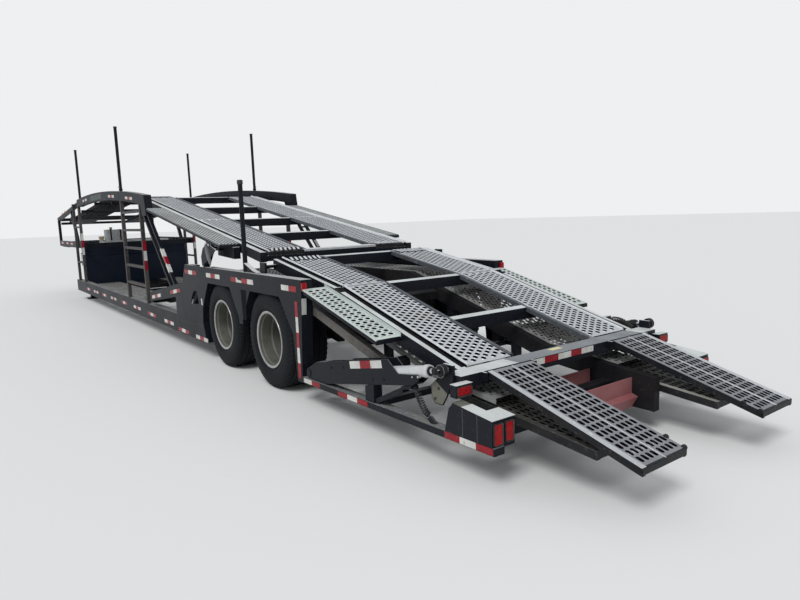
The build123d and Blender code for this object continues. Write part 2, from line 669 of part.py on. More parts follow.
# Gooseneck: two side trusses, cross members and the coupler plate with its kingpin
neck_rail_front_z = NECK_FRONT_TOP_Z - NECK_RAIL_DEPTH / 2
neck_beam_z = NECK_BOTTOM_Z + NECK_BEAM_DEPTH / 2
neck_top = [(NOSE_X, NECK_FRONT_TOP_Z), (NECK_REAR_X, NECK_REAR_TOP_Z)]
NECK_MEMBERS = [
    ((NECK_REAR_X, neck_beam_z), (NOSE_X, neck_beam_z), NECK_BEAM_DEPTH),
    ((NOSE_X - 40, neck_beam_z), (NOSE_X - 40, neck_rail_front_z), 80),
    (
        (NECK_BRACE_X[0], neck_beam_z),
        (NECK_BRACE_X[1], level(neck_top, NECK_BRACE_X[1]) - NECK_RAIL_DEPTH / 2),
        90,
    ),
]
with BuildPart() as gooseneck:
    for side in (1, -1):
        truss_y = reach(side, NECK_OUTER_Y, NECK_INNER_Y)
        slab(band(neck_top, NECK_RAIL_DEPTH), *truss_y)
        for start, end, depth in NECK_MEMBERS:
            member(start, end, depth, *truss_y)
    for x in (5250, 6400, KINGPIN_X - 380, KINGPIN_X + 380, NOSE_X - 40):
        crossbar(x, NECK_BOTTOM_Z + 110, 80, 110, NECK_OUTER_Y)
    crossbar(NOSE_X - 40, neck_rail_front_z + 40, 80, 80, NECK_OUTER_Y)
    with BuildSketch(Plane.XY.offset(NECK_BOTTOM_Z)):
        with Locations((KINGPIN_X, 0)):
            Rectangle(COUPLER_PLATE_SIZE, 2 * NECK_OUTER_Y)
    extrude(amount=-COUPLER_PLATE_THICKNESS)
    plate_bottom_z = NECK_BOTTOM_Z - COUPLER_PLATE_THICKNESS
    with BuildSketch(Plane.XY.offset(plate_bottom_z)):
        with Locations((KINGPIN_X, 0)):
            Circle(KINGPIN_DIAMETER / 2)
    extrude(amount=-KINGPIN_LENGTH)
    lower_collar_z = plate_bottom_z - KINGPIN_LENGTH + KINGPIN_COLLAR_LENGTH
    for top_z in (plate_bottom_z, lower_collar_z):
        with BuildSketch(Plane.XY.offset(top_z)):
            with Locations((KINGPIN_X, 0)):
                Circle(KINGPIN_COLLAR_DIAMETER / 2)
        extrude(amount=-KINGPIN_COLLAR_LENGTH)
save(gooseneck, "gooseneck")

# Landing legs: outer tube on the bulkhead, inner tube and foot on the ground
with BuildPart() as leg:
    with BuildSketch(Plane.XY.offset(LEG_TUBE_BOTTOM_Z)):
        with Locations((LEG_X, LEG_Y)):
            Rectangle(LEG_TUBE, LEG_TUBE)
    extrude(amount=NECK_BOTTOM_Z - LEG_TUBE_BOTTOM_Z)
    with BuildSketch(Plane.XY):
        with Locations((LEG_X, LEG_Y)):
            Rectangle(LEG_INNER_TUBE, LEG_INNER_TUBE)
    extrude(amount=LEG_TUBE_BOTTOM_Z)
    with BuildSketch(Plane.XY):
        with Locations((LEG_X, LEG_Y)):
            RectangleRounded(LEG_FOOT_SIZE, LEG_FOOT_SIZE, 30)
    extrude(amount=LEG_FOOT_THICKNESS)
    stay_outline = box_outline(BULKHEAD_X + BULKHEAD_THICKNESS, LEG_X, *LEG_STAY_Z)
    slab(stay_outline, LEG_Y + 40, LEG_Y - 40)
save_pair(leg, "landing_leg")

# Headrack arch: curved rail with a rear gusset, two poles and the front deck's hinge pin
with BuildPart() as arch:
    with BuildSketch(Plane.XZ.offset(-HALF_WIDTH)):
        with BuildLine():
            crown = ThreePointArc(
                (ARCH_REAR_X, ARCH_REAR_Z),
                (ARCH_CREST_X, ARCH_CREST_Z),
                (NECK_REAR_X, NECK_REAR_TOP_Z),
            )
            front_end = Line(crown @ 1, (NECK_REAR_X, NECK_REAR_TOP_Z - ARCH_DEPTH))
            underside = ThreePointArc(
                front_end @ 1,
                (ARCH_CREST_X, ARCH_CREST_Z - ARCH_DEPTH),
                (ARCH_REAR_X, ARCH_REAR_Z - ARCH_DEPTH),
            )
            Line(underside @ 1, crown @ 0)
        make_face()
        with BuildLine():
            Polyline(
                (ARCH_REAR_X, ARCH_REAR_Z),
                (ARCH_REAR_X - 60, GUSSET_BOTTOM_Z),
                (ARCH_REAR_X + GUSSET_WIDTH, GUSSET_BOTTOM_Z),
                (ARCH_REAR_X + GUSSET_WIDTH + 90, ARCH_REAR_Z - ARCH_DEPTH + 40),
                close=True,
            )
        make_face()
    extrude(amount=HALF_WIDTH - SIDE_INNER_Y)
    for pole_x in (FRONT_POLE_X, REAR_POLE_X):
        with BuildSketch(Plane.XY.offset(ARCH_REAR_Z)):
            with Locations((pole_x, POLE_Y)):
                Circle(POLE_DIAMETER / 2)
        extrude(amount=POLE_TOP_Z - ARCH_REAR_Z)
    round_bar(*FRONT_DECK_HINGE, SIDE_INNER_Y, TRACK_OUTER_Y + 5, HINGE_PIN_DIAMETER)
save_pair(arch, "headrack_arch")

# Ladders: rails from the sill up to the arch or the neck's rail, rungs between them
rung_y = (NECK_OUTER_Y + RAIL_SIZE - 5, NECK_OUTER_Y + 5)
with BuildPart() as front_ladder:
    for x in FRONT_LADDER_X:
        rail_top_z = level(neck_top, x)
        slab(
            box_outline(x - RAIL_SIZE / 2, x + RAIL_SIZE / 2, SILL_TOP_Z, rail_top_z),
            NECK_OUTER_Y + RAIL_SIZE,
            NECK_OUTER_Y,
        )
    for z in FRONT_RUNGS_Z:
        slab(box_outline(*FRONT_LADDER_X, z - RUNG_DEPTH, z), *rung_y)
save_pair(front_ladder, "front_ladder")

with BuildPart() as rear_ladder:
    for x in REAR_LADDER_X:
        slab(
            box_outline(x - RAIL_SIZE / 2, x + RAIL_SIZE / 2, SILL_TOP_Z, ARCH_REAR_Z - 10),
            NECK_OUTER_Y + RAIL_SIZE,
            NECK_OUTER_Y,
        )
    for k in range(REAR_RUNG_COUNT):
        z = REAR_RUNG_TOP_Z - k * REAR_RUNG_SPACING
        slab(box_outline(*REAR_LADDER_X, z - RUNG_DEPTH, z), *rung_y)
    add(arch.part, mode=Mode.SUBTRACT)
save_pair(rear_ladder, "rear_ladder")

# Braces: twin struts from the gusset down to the kick-up beam
brace_top_z = GUSSET_BOTTOM_Z + 40
with BuildPart() as brace:
    for shift in (0, BRACE_SPACING):
        slab(
            [
                (BRACE_TOP_X + shift, brace_top_z),
                (BRACE_TOP_X + shift - BRACE_WIDTH, brace_top_z),
                (BRACE_FOOT_X + shift - BRACE_WIDTH, KICK_NOSE_TOP_Z),
                (BRACE_FOOT_X + shift, KICK_NOSE_TOP_Z),
            ],
            NECK_OUTER_Y + RAIL_SIZE - 10,
            NECK_OUTER_Y,
        )
    for t in (0.25, 0.75):
        x = BRACE_TOP_X + t * (BRACE_FOOT_X - BRACE_TOP_X)
        z = brace_top_z + t * (KICK_NOSE_TOP_Z - brace_top_z)
        slab(
            box_outline(x - BRACE_WIDTH, x + BRACE_SPACING, z - 15, z + 15),
            NECK_OUTER_Y + 20,
            NECK_OUTER_Y,
        )
    add(arch.part, mode=Mode.SUBTRACT)
    kick_beam = [
        (KICK_NOSE_X, KICK_NOSE_TOP_Z),
        (KICK_REAR_X, KICK_REAR_TOP_Z),
        (KICK_REAR_X, KICK_NOSE_TOP_Z - KICK_NOSE_DEPTH),
        (KICK_NOSE_X, KICK_NOSE_TOP_Z - KICK_NOSE_DEPTH),
    ]
    slab(kick_beam, HALF_WIDTH, SIDE_INNER_Y, mode=Mode.SUBTRACT)
save_pair(brace, "brace")

# Fixed head deck under the arch and over the gooseneck
HEAD_BARS_X = (860, 2300, 3860, 5400, 6900, 8420)
with BuildPart() as head_deck:
    for side in (1, -1):
        tray(HEAD_DECK_TOP, *reach(side, TRACK_OUTER_Y, TRACK_INNER_Y), TRACK_DEPTH, TRACK_PLATE)
        lip_y = reach(side, TRACK_OUTER_Y, TRACK_OUTER_Y - TRACK_LIP_WIDTH)
        slab(band(lowered(HEAD_DECK_TOP, -TRACK_LIP_RISE), TRACK_LIP_RISE), *lip_y)
    for x in HEAD_BARS_X:
        crossmember(HEAD_DECK_TOP, x, TRACK_DEPTH, 60, DECK_BAR_WIDTH, SIDE_INNER_Y)
save(head_deck, "head_deck")


def deck_frame(profile, bars):
    """Side rails and crossbars of an upper deck; between the tracks the bars rise to its top."""
    for outer_y in (DECK_RAIL_OUTER_Y, -TRACK_OUTER_Y):
        inner_y = outer_y - (DECK_RAIL_OUTER_Y - TRACK_OUTER_Y)
        slab(band(profile, DECK_RAIL_DEPTH), outer_y, inner_y)
    for x in bars:
        crossmember(profile, x, TRACK_DEPTH, DECK_BAR_DEPTH, DECK_BAR_WIDTH, TRACK_OUTER_Y)
        crossmember(profile, x, 0, TRACK_DEPTH + DECK_BAR_DEPTH, DECK_BAR_WIDTH, TRACK_INNER_Y)


def deck_track(profile):
    """Track of an upper deck with a raised lip along its outer edge."""
    tray(profile, TRACK_OUTER_Y, TRACK_INNER_Y, TRACK_DEPTH, TRACK_PLATE)
    lip = band(lowered(profile, -TRACK_LIP_RISE), TRACK_LIP_RISE)
    slab(lip, TRACK_OUTER_Y, TRACK_OUTER_Y - TRACK_LIP_WIDTH)


def hinge_eyes(x, z):
    """Bored eyes in both side rails for the hinge pins."""
    for outer_y in (DECK_RAIL_OUTER_Y, -TRACK_OUTER_Y):
        inner_y = outer_y - (DECK_RAIL_OUTER_Y - TRACK_OUTER_Y)
        round_bar(x, z, outer_y, inner_y, HINGE_PIN_DIAMETER + 50)
        round_bar(x, z, outer_y, inner_y, HINGE_PIN_DIAMETER + 2 * PIN_GAP, mode=Mode.SUBTRACT)


# Guard plate outside the lift eye and the channel behind the bracket, as (x, z) from the eye
LEAF_SHAPE = [
    (235, -228),
    (252, -115),
    (180, -15),
    (60, 45),
    (40, 78),
    (-60, 65),
    (-90, 30),
    (-250, -20),
    (-160, -75),
    (60, -165),
]
VALVE_CHANNEL = [(60, 40), (60, -100), (-450, -130), (-450, 5)]

# Front upper deck with its ribbed walkways, the lift brackets and their guard plates
with BuildPart() as front_deck:
    deck_frame(FRONT_DECK_TOP, FRONT_DECK_BARS_X)
    hinge_eyes(*FRONT_DECK_HINGE)
    walkway_top = lowered(clipped(FRONT_DECK_TOP, *WALKWAY_X), WALKWAY_DROP)
    rib_pitch = (WALKWAY_OUTER_Y - DECK_RAIL_OUTER_Y) / WALKWAY_RIB_COUNT
    for side in (1, -1):
        walkway_y = reach(side, WALKWAY_OUTER_Y, DECK_RAIL_OUTER_Y)
        slab(band(walkway_top, WALKWAY_DEPTH), *walkway_y)
        for k in range(WALKWAY_RIB_COUNT):
            rib_y = walkway_y[1] + (k + 0.5) * rib_pitch
            ridge = lowered(walkway_top, -WALKWAY_RIB_HEIGHT)
            slab(band(ridge, WALKWAY_RIB_HEIGHT), rib_y + 10, rib_y - 10)
        eye_x, eye_z = FRONT_LIFT_EYE
        bracket_y = side * (DECK_RAIL_OUTER_Y + 60)
        bracket = box_outline(eye_x - 60, eye_x + 60, eye_z - 40, eye_z + 90)
        slab(bracket, bracket_y + 60, bracket_y - 60)
        pin_y = reach(side, LEAF_OUTER_Y, DECK_RAIL_OUTER_Y + 110)
        round_bar(eye_x, eye_z, *pin_y, EYE_PIN_DIAMETER)
        leaf_outline = [(eye_x + dx, eye_z + dz) for dx, dz in LEAF_SHAPE]
        slab(leaf_outline, *reach(side, LEAF_OUTER_Y, LEAF_OUTER_Y - LEAF_THICKNESS))
        valve_box = [(eye_x + dx, eye_z + dz) for dx, dz in VALVE_CHANNEL]
        slab(valve_box, bracket_y + 30, bracket_y - 50)
save(front_deck, "front_deck_frame")

with BuildPart() as front_track:
    deck_track(FRONT_DECK_TOP)
save_pair(front_track, "front_deck_track")

def rod_between(start, run, y, u0, u1, diameter, mode=Mode.ADD):
    """Cylinder along a run, from one distance to another."""
    length = hypot(*run)
    origin = (start[0] + run[0] * u0 / length, y, start[1] + run[1] * u0 / length)
    with BuildSketch(Plane(origin=origin, z_dir=(run[0], 0, run[1]))) as face:
        Circle(diameter / 2)
    extrude(face.sketch, amount=u1 - u0, mode=mode)


def gland(inner, end, y, length):
    """Gland whose face meets a cord's end, on the line from the cord's next point."""
    rod_between(end, (end[0] - inner[0], end[1] - inner[1]), y, 0, length, GLAND_DIAMETER)


# Hanging link plate beside the lift pin, as (x, z) from the pin
LINK_SHAPE = [(30, -10), (-40, -60), (15, -191), (65, -268), (142, -270), (180, -240), (186, -142)]

# Rear upper deck: bent rails, rear bar, outer platforms, lamp boxes, lift pins and a cord's glands
with BuildPart() as rear_deck:
    deck_frame(REAR_DECK_TOP, REAR_DECK_BARS_X)
    hinge_eyes(*REAR_DECK_HINGE)
    bar_top_z = REAR_DECK_TOP[-1][1]
    bar_outline = box_outline(REAR_BAR_X[1], REAR_BAR_X[0], bar_top_z - REAR_BAR_DEPTH, bar_top_z)
    slab(bar_outline, REAR_BAR_HALF, -REAR_BAR_HALF)
    for side in (1, -1):
        platform_y = reach(side, WALKWAY_OUTER_Y, DECK_RAIL_OUTER_Y)
        slab(band(PLATFORM_TOP, PLATFORM_DEPTH), *platform_y)
        slab(
            box_outline(REAR_BAR_X[1] - LAMP_BOX_LENGTH, REAR_BAR_X[1], *LAMP_BOX_Z),
            *reach(side, *LAMP_BOX_Y),
        )
        plate_y = reach(side, REAR_BAR_HALF + 20, REAR_BAR_HALF)
        eye_x, eye_z = ARM_EYE
        slab(box_outline(eye_x - 50, eye_x + 50, ARM_LUG_BOTTOM_Z, eye_z + 35), *plate_y)
        link_outline = [(eye_x + dx, eye_z + dz) for dx, dz in LINK_SHAPE]
        link_outer_y = REAR_BAR_HALF + 20
        slab(link_outline, *reach(side, link_outer_y, link_outer_y - LINK_PLATE_THICKNESS))
        pin_y = reach(side, ARM_OUTER_Y - 5, REAR_BAR_HALF)
        round_bar(eye_x, eye_z, *pin_y, EYE_PIN_DIAMETER)
        hinge_y = reach(side, RAMP_OUTER_Y + 25, RAMP_INNER_Y - 25)
        lug_z = (RAMP_LUG_BOTTOM_Z, RAMP_HINGE[1] + 18)
        lug_outline = box_outline(RAMP_HINGE[0] - 20, REAR_BAR_X[1], *lug_z)
        for y in hinge_y:
            slab(lug_outline, y + 8, y - 8)
        round_bar(*RAMP_HINGE, *hinge_y, RAMP_PIN_DIAMETER)
    slab(box_outline(*CURLY_BLOCK), -TRACK_OUTER_Y - 30, CURLY_RIGHT_Y - 30)
    gland(CURLY_RIGHT[1], CURLY_RIGHT[0], CURLY_RIGHT_Y, GLAND_LENGTH)
    gland(CURLY_RIGHT[-2], CURLY_RIGHT[-1], CURLY_RIGHT_Y, SOCKET_LENGTH / 2)
save(rear_deck, "rear_deck_frame")

with BuildPart() as rear_track:
    deck_track(REAR_DECK_TOP)
save_pair(rear_track, "rear_deck_track")

# Ramps: trays with two columns of slots and a hinge barrel
with BuildPart() as ramp:
    tray(RAMP_TOP, RAMP_OUTER_Y, RAMP_INNER_Y, RAMP_DEPTH, TRACK_PLATE)
    barrel_y = (RAMP_OUTER_Y, RAMP_INNER_Y)
    ramp_bore = RAMP_PIN_DIAMETER + 2 * PIN_GAP
    round_bar(*RAMP_HINGE, *barrel_y, RAMP_BARREL_DIAMETER)
    round_bar(*RAMP_HINGE, *barrel_y, ramp_bore, mode=Mode.SUBTRACT)
    slot_pitch = (RAMP_TOP[0][0] - RAMP_TOP[1][0]) / RAMP_SLOT_ROWS
    middle_y = (RAMP_OUTER_Y + RAMP_INNER_Y) / 2
    with BuildSketch(Plane.XY.offset(RAMP_TOP[1][1] - RAMP_DEPTH)):
        for row in range(RAMP_SLOT_ROWS):
            slot_x = RAMP_TOP[0][0] - (row + 0.5) * slot_pitch
            for column in (1, -1):
                with Locations((slot_x, middle_y + column * 105)):
                    Rectangle(RAMP_SLOT_WIDTH, RAMP_SLOT_LENGTH)
    extrude(amount=RAMP_TOP[0][1] - RAMP_TOP[1][1] + 2 * RAMP_DEPTH, mode=Mode.SUBTRACT)
save_pair(ramp, "ramp")

# Lift arms of the rear deck: open channels with the cylinder's barrel inside
arm_run = (ARM_EYE[0] - ARM_PIVOT[0], ARM_EYE[1] - ARM_PIVOT[1])
arm_length = hypot(*arm_run)
ARM_SIDE = [
    (0, -ARM_END_RADIUS),
    (300, -95),
    (1560, -95),
    (1640, -55),
    (1640, -20),
    (1400, -10),
    (1290, 100),
    (680, 106),
    (640, 96),
    (160, 96),
    (0, ARM_END_RADIUS),
]
ARM_POCKET = [(330, -85), (1640, -85), (1640, 120), (330, 120)]


def along(start, run, y):
    """Plane at one Y with X along a run that starts at a pivot, Y upward, Z to the left."""
    return Plane(origin=(start[0], y, start[1]), x_dir=(run[0], 0, run[1]), z_dir=(0, 1, 0))


arm_y = (ARM_OUTER_Y + ARM_INNER_Y) / 2
with BuildPart() as arm:
    with BuildSketch(along(ARM_PIVOT, arm_run, ARM_INNER_Y)):
        with BuildLine():
            Polyline(*ARM_SIDE, close=True)
        make_face()
        Circle(ARM_END_RADIUS)
    extrude(amount=ARM_OUTER_Y - ARM_INNER_Y)
    with BuildSketch(along(ARM_PIVOT, arm_run, ARM_INNER_Y + 7)):
        with BuildLine():
            Polyline(*ARM_POCKET, close=True)
        make_face()
    extrude(amount=ARM_OUTER_Y - ARM_INNER_Y - 14, mode=Mode.SUBTRACT)
    arm_bore = ARM_PIN_DIAMETER + 2 * PIN_GAP
    round_bar(*ARM_PIVOT, ARM_OUTER_Y, ARM_INNER_Y, arm_bore, mode=Mode.SUBTRACT)
    rod_bore = ROD_DIAMETER + 2 * ROD_CLEARANCE
    rod_between(ARM_PIVOT, arm_run, arm_y, 320, 1660, BARREL_DIAMETER)
    rod_between(ARM_PIVOT, arm_run, arm_y, 860, 1661, rod_bore, mode=Mode.SUBTRACT)
save_pair(arm, "lift_arm")

with BuildPart() as rod:
    rod_end = arm_length - EYE_DIAMETER / 2 + 5
    rod_between(ARM_PIVOT, arm_run, arm_y, 900, rod_end, ROD_DIAMETER)
    eye_y = (arm_y + EYE_THICKNESS / 2, arm_y - EYE_THICKNESS / 2)
    round_bar(*ARM_EYE, *eye_y, EYE_DIAMETER)
    round_bar(*ARM_EYE, *eye_y, EYE_PIN_DIAMETER + EYE_PLAY, mode=Mode.SUBTRACT)
save_pair(rod, "lift_rod")

# Front deck's lift cylinders, standing in the side bodies
lift_run = (FRONT_LIFT_EYE[0] - FRONT_LIFT_PIVOT[0], FRONT_LIFT_EYE[1] - FRONT_LIFT_PIVOT[1])
lift_length = hypot(*lift_run)
foot_y = (FRONT_LIFT_Y + FOOT_WIDTH / 2, FRONT_LIFT_Y - FOOT_WIDTH / 2)
foot_bore = FOOT_PIN_DIAMETER + 2 * PIN_GAP
lift_line = (FRONT_LIFT_PIVOT, lift_run, FRONT_LIFT_Y)
with BuildPart() as barrel:
    round_bar(*FRONT_LIFT_PIVOT, *foot_y, FOOT_DIAMETER)
    rod_between(*lift_line, FOOT_DIAMETER / 2 - 10, lift_length - 100, BARREL_DIAMETER)
    rod_between(*lift_line, 300, lift_length, rod_bore, mode=Mode.SUBTRACT)
    round_bar(*FRONT_LIFT_PIVOT, *foot_y, foot_bore, mode=Mode.SUBTRACT)
save_pair(barrel, "front_lift_barrel")

with BuildPart() as front_rod:
    rod_end = lift_length - EYE_DIAMETER / 2 + 5
    rod_between(*lift_line, 340, rod_end, ROD_DIAMETER)
    eye_y = (FRONT_LIFT_Y + EYE_THICKNESS / 2, FRONT_LIFT_Y - EYE_THICKNESS / 2)
    round_bar(*FRONT_LIFT_EYE, *eye_y, EYE_DIAMETER)
    round_bar(*FRONT_LIFT_EYE, *eye_y, EYE_PIN_DIAMETER + EYE_PLAY, mode=Mode.SUBTRACT)
save_pair(front_rod, "front_lift_rod")

# Rear low frame: taped sill, arm post and rest, outriggers to the spine and the tail box
sill_bottom_z = REAR_SILL_TOP_Z - REAR_SILL_DEPTH
with BuildPart() as tail:
    sill_line = [
        (REAR_SILL_FRONT_X, REAR_SILL_TOP_Z),
        (REAR_SILL_REAR_X, REAR_SILL_TOP_Z + REAR_SILL_RISE),
    ]
    slab(band(sill_line, REAR_SILL_DEPTH), REAR_SILL_OUTER_Y, REAR_SILL_INNER_Y)
    box_top = list(zip(TAIL_BOX_X, TAIL_BOX_TOP_Z))
    box_side = box_top + [(x, TAIL_BOX_BOTTOM_Z) for x in TAIL_BOX_X[::-1]]
    slab(box_side, REAR_SILL_OUTER_Y, REAR_SILL_INNER_Y)
    rear_part = clipped(box_top, TAIL_BOX_X[1] + TAIL_BOX_REAR_LENGTH, TAIL_BOX_X[1])
    rear_side = rear_part + [(x, TAIL_BOX_BOTTOM_Z) for x, _ in rear_part[::-1]]
    slab(rear_side, REAR_SILL_OUTER_Y, TAIL_BOX_INNER_Y)
    spine_inner_y = SPINE_OUTER_Y - SPINE_WIDTH
    for x in OUTRIGGER_X:
        beam_outline = box_outline(x - 35, x + 35, sill_bottom_z, REAR_SILL_TOP_Z)
        slab(beam_outline, REAR_SILL_INNER_Y, spine_inner_y)
        post_top = lowered(clipped(spine_top, x + 35, x - 35), SPINE_DEPTH)
        post_outline = [(x - 35, sill_bottom_z), (x + 35, sill_bottom_z), *post_top]
        slab(post_outline, SPINE_OUTER_Y, spine_inner_y)
    pivot_x, pivot_z = ARM_PIVOT
    pivot_post = box_outline(pivot_x - 70, pivot_x + 70, sill_bottom_z, pivot_z + 60)
    slab(pivot_post, ARM_INNER_Y - 8, ARM_INNER_Y - 60)
    round_bar(*ARM_PIVOT, ARM_OUTER_Y, ARM_INNER_Y - 60, ARM_PIN_DIAMETER)
    rest_top = list(zip(ARM_REST_X, ARM_REST_TOP_Z))
    rest_outline = rest_top + [(x, sill_bottom_z + 20) for x in ARM_REST_X[::-1]]
    slab(rest_outline, REAR_SILL_OUTER_Y - 10, REAR_SILL_INNER_Y)
    member(*ARM_REST_STRUT, 40, CURLY_LEFT_Y + 28, CURLY_LEFT_Y - 32)
    member(*HOSE_BRACKET, 24, CURLY_LEFT_Y + 28, CURLY_LEFT_Y - 32)
    gland(CURLY_LEFT[1], CURLY_LEFT[0], CURLY_LEFT_Y, GLAND_LENGTH)
    gland(CURLY_LEFT[-2], CURLY_LEFT[-1], CURLY_LEFT_Y, SOCKET_LENGTH)
    add(side_body.part, mode=Mode.SUBTRACT)
save_pair(tail, "tail_frame")

# Curly cords: the left one hangs to the sill, the right one arches over to the rear bar
CURLY_CORDS = [("left", CURLY_LEFT, CURLY_LEFT_Y), ("right", CURLY_RIGHT, CURLY_RIGHT_Y)]
for cord_name, points, y in CURLY_CORDS:
    runs = [hypot(x1 - x0, z1 - z0) for (x0, z0), (x1, z1) in zip(points, points[1:])]
    angles = [atan2(z1 - z0, x1 - x0) % tau for (x0, z0), (x1, z1) in zip(points, points[1:])]
    radii = [
        0.45 * min(runs[k], runs[k + 1]) / tan(abs(angles[k + 1] - angles[k]) / 2)
        for k in range(len(runs) - 1)
    ]
    print(f"curly_cord_{cord_name}: radii {[round(r) for r in radii]}, runs {round(sum(runs))}")
    with BuildPart() as cord:
        with BuildLine() as route:
            FilletPolyline(*[(x, y, z) for x, z in points], radius=radii)
        first, second = points[:2]
        start_plane = Plane(
            origin=(first[0], y, first[1]), z_dir=(second[0] - first[0], 0, second[1] - first[1])
        )
        with BuildSketch(start_plane):
            Circle(CURLY_DIAMETER / 2)
        sweep(path=route.line)
    save(cord, f"curly_cord_{cord_name}")

with BuildPart() as mid_pole:
    with BuildSketch(Plane.XY.offset(BODY_TOP_Z)):
        with Locations((MID_POLE_X, POLE_Y)):
            Circle(POLE_DIAMETER / 2)
    extrude(amount=MID_POLE_TOP_Z - BODY_TOP_Z)
    foot_plate = [
        (MID_POLE_X, BODY_TOP_Z),
        (MID_POLE_X, BODY_TOP_Z + 95),
        (MID_POLE_X - 235, BODY_TOP_Z + 20),
        (MID_POLE_X - 235, BODY_TOP_Z),
    ]
    slab(foot_plate, POLE_Y + 6, POLE_Y - 6)
save(mid_pole, "mid_pole_left")
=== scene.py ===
import json
from math import atan2, cos, dist, radians, sin

import bpy
from mathutils import Matrix, Vector

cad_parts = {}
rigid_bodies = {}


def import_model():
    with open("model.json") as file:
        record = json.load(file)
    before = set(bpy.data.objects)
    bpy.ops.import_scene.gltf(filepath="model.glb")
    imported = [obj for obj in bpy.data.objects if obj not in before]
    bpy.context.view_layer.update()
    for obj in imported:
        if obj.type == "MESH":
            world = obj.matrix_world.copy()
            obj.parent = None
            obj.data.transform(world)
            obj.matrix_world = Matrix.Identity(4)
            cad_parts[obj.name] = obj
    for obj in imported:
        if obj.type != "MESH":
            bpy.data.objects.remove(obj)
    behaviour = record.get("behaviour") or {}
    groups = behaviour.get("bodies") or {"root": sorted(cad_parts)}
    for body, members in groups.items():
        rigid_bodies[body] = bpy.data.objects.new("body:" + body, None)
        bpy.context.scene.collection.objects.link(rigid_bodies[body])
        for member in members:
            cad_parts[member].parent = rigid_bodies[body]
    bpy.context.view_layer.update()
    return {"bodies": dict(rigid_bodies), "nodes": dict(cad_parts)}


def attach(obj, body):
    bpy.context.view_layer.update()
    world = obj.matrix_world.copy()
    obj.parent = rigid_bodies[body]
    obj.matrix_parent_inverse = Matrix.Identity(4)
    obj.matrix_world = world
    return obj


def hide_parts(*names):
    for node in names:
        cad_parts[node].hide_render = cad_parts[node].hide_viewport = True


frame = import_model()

# Camera
# Where the photograph was taken from: behind the tail's left corner, at eye height, with a wide lens,
# turned a little down and not quite level.
EYE = Vector((-10.391, 3.862, 1.722))
YAW, PITCH, ROLL = radians(-36.47), radians(-7.81), radians(-1.96)
SENSOR_WIDTH, LENS, FAR_CLIP = 36, 27.71, 300
ahead = Vector((cos(PITCH) * cos(YAW), cos(PITCH) * sin(YAW), sin(PITCH)))
right = ahead.cross(Vector((0, 0, 1))).normalized()
up = right.cross(ahead)
right, up = cos(ROLL) * right + sin(ROLL) * up, cos(ROLL) * up - sin(ROLL) * right
camera = bpy.data.objects.new("camera", bpy.data.cameras.new("camera"))
bpy.context.scene.collection.objects.link(camera)
camera.matrix_world = Matrix([(right[i], up[i], -ahead[i], EYE[i]) for i in range(3)] + [(0, 0, 0, 1)])
camera.data.sensor_width, camera.data.lens, camera.data.clip_end = SENSOR_WIDTH, LENS, FAR_CLIP
bpy.context.scene.camera = camera

# Floor and light
# A plain pale studio floor, a soft sky all round and one broad lamp high on the left, behind the tail.
FLOOR_SIZE = 240
SKY_COLOUR, SKY_STRENGTH = (0.93, 0.96, 1.0, 1), 0.62
SKY_SEEN_COLOUR = (0.86, 0.87, 0.88, 1)
LAMP_ENERGY, LAMP_WIDTH, LAMP_TURN = 1.7, radians(25), (radians(38), 0, radians(-150))


def paint(name, colour, roughness, metallic=0.0):
    """A plain material."""
    finish = bpy.data.materials.new(name)
    finish.use_nodes = True
    finish.diffuse_color = (*colour, 1)
    shader = finish.node_tree.nodes["Principled BSDF"]
    shader.inputs["Base Color"].default_value = (*colour, 1)
    shader.inputs["Roughness"].default_value = roughness
    shader.inputs["Metallic"].default_value = metallic
    return finish


def wired(tree, kinds, values, links):
    """Puts named nodes into a tree, sets inputs and links sockets. A socket is written as node/socket."""
    def socket(text, side):
        name, label = text.split("/")
        return getattr(tree.nodes[name], side)[int(label) if label.isdigit() else label]

    for name, kind in kinds.items():
        tree.nodes.new(kind).name = name
    for target, value in values.items():
        socket(target, "inputs").default_value = value
    for source, target in links:
        tree.links.new(socket(source, "outputs"), socket(target, "inputs"))


bpy.ops.object.select_all(action="DESELECT")
bpy.ops.mesh.primitive_plane_add(size=FLOOR_SIZE, location=(0, 0, 0))
floor = bpy.context.object
floor.name = "floor"
floor.data.materials.append(paint("floor_paint", (0.74, 0.74, 0.73), 0.9))

sky = bpy.data.worlds.new("sky")
sky.use_nodes = True
bpy.context.scene.world = sky
wired(
    sky.node_tree,
    {"seen": "ShaderNodeBackground", "ray": "ShaderNodeLightPath", "pick": "ShaderNodeMixShader"},
    {"Background/Color": SKY_COLOUR, "Background/Strength": SKY_STRENGTH, "seen/Color": SKY_SEEN_COLOUR},
    (("ray/Is Camera Ray", "pick/0"), ("Background/0", "pick/1"), ("seen/0", "pick/2"),
     ("pick/0", "World Output/0")),
)

lamp = bpy.data.objects.new("lamp", bpy.data.lights.new("lamp", "SUN"))
bpy.context.scene.collection.objects.link(lamp)
lamp.data.energy, lamp.data.angle, lamp.rotation_euler = LAMP_ENERGY, LAMP_WIDTH, LAMP_TURN
bpy.context.scene.view_settings.view_transform = "Standard"


# Curly cords
# Coiled air and light leads of black rubber, each turn lying against the next. One hangs from the
# arm's rest down to the low rail, the other arches over from the deck's right rail to the rear bar.
def settled(piece):
    """The piece, alone selected and active, with its place, turn and scale worked into its mesh."""
    bpy.ops.object.select_all(action="DESELECT")
    piece.select_set(True)
    bpy.context.view_layer.objects.active = piece
    bpy.ops.object.transform_apply(location=True, rotation=True, scale=True)
    return piece


def finish_piece(piece, name, body):
    """Names a piece that is ready and fixes it to its body."""
    settled(piece)
    piece.name = piece.data.name = name
    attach(piece, body)


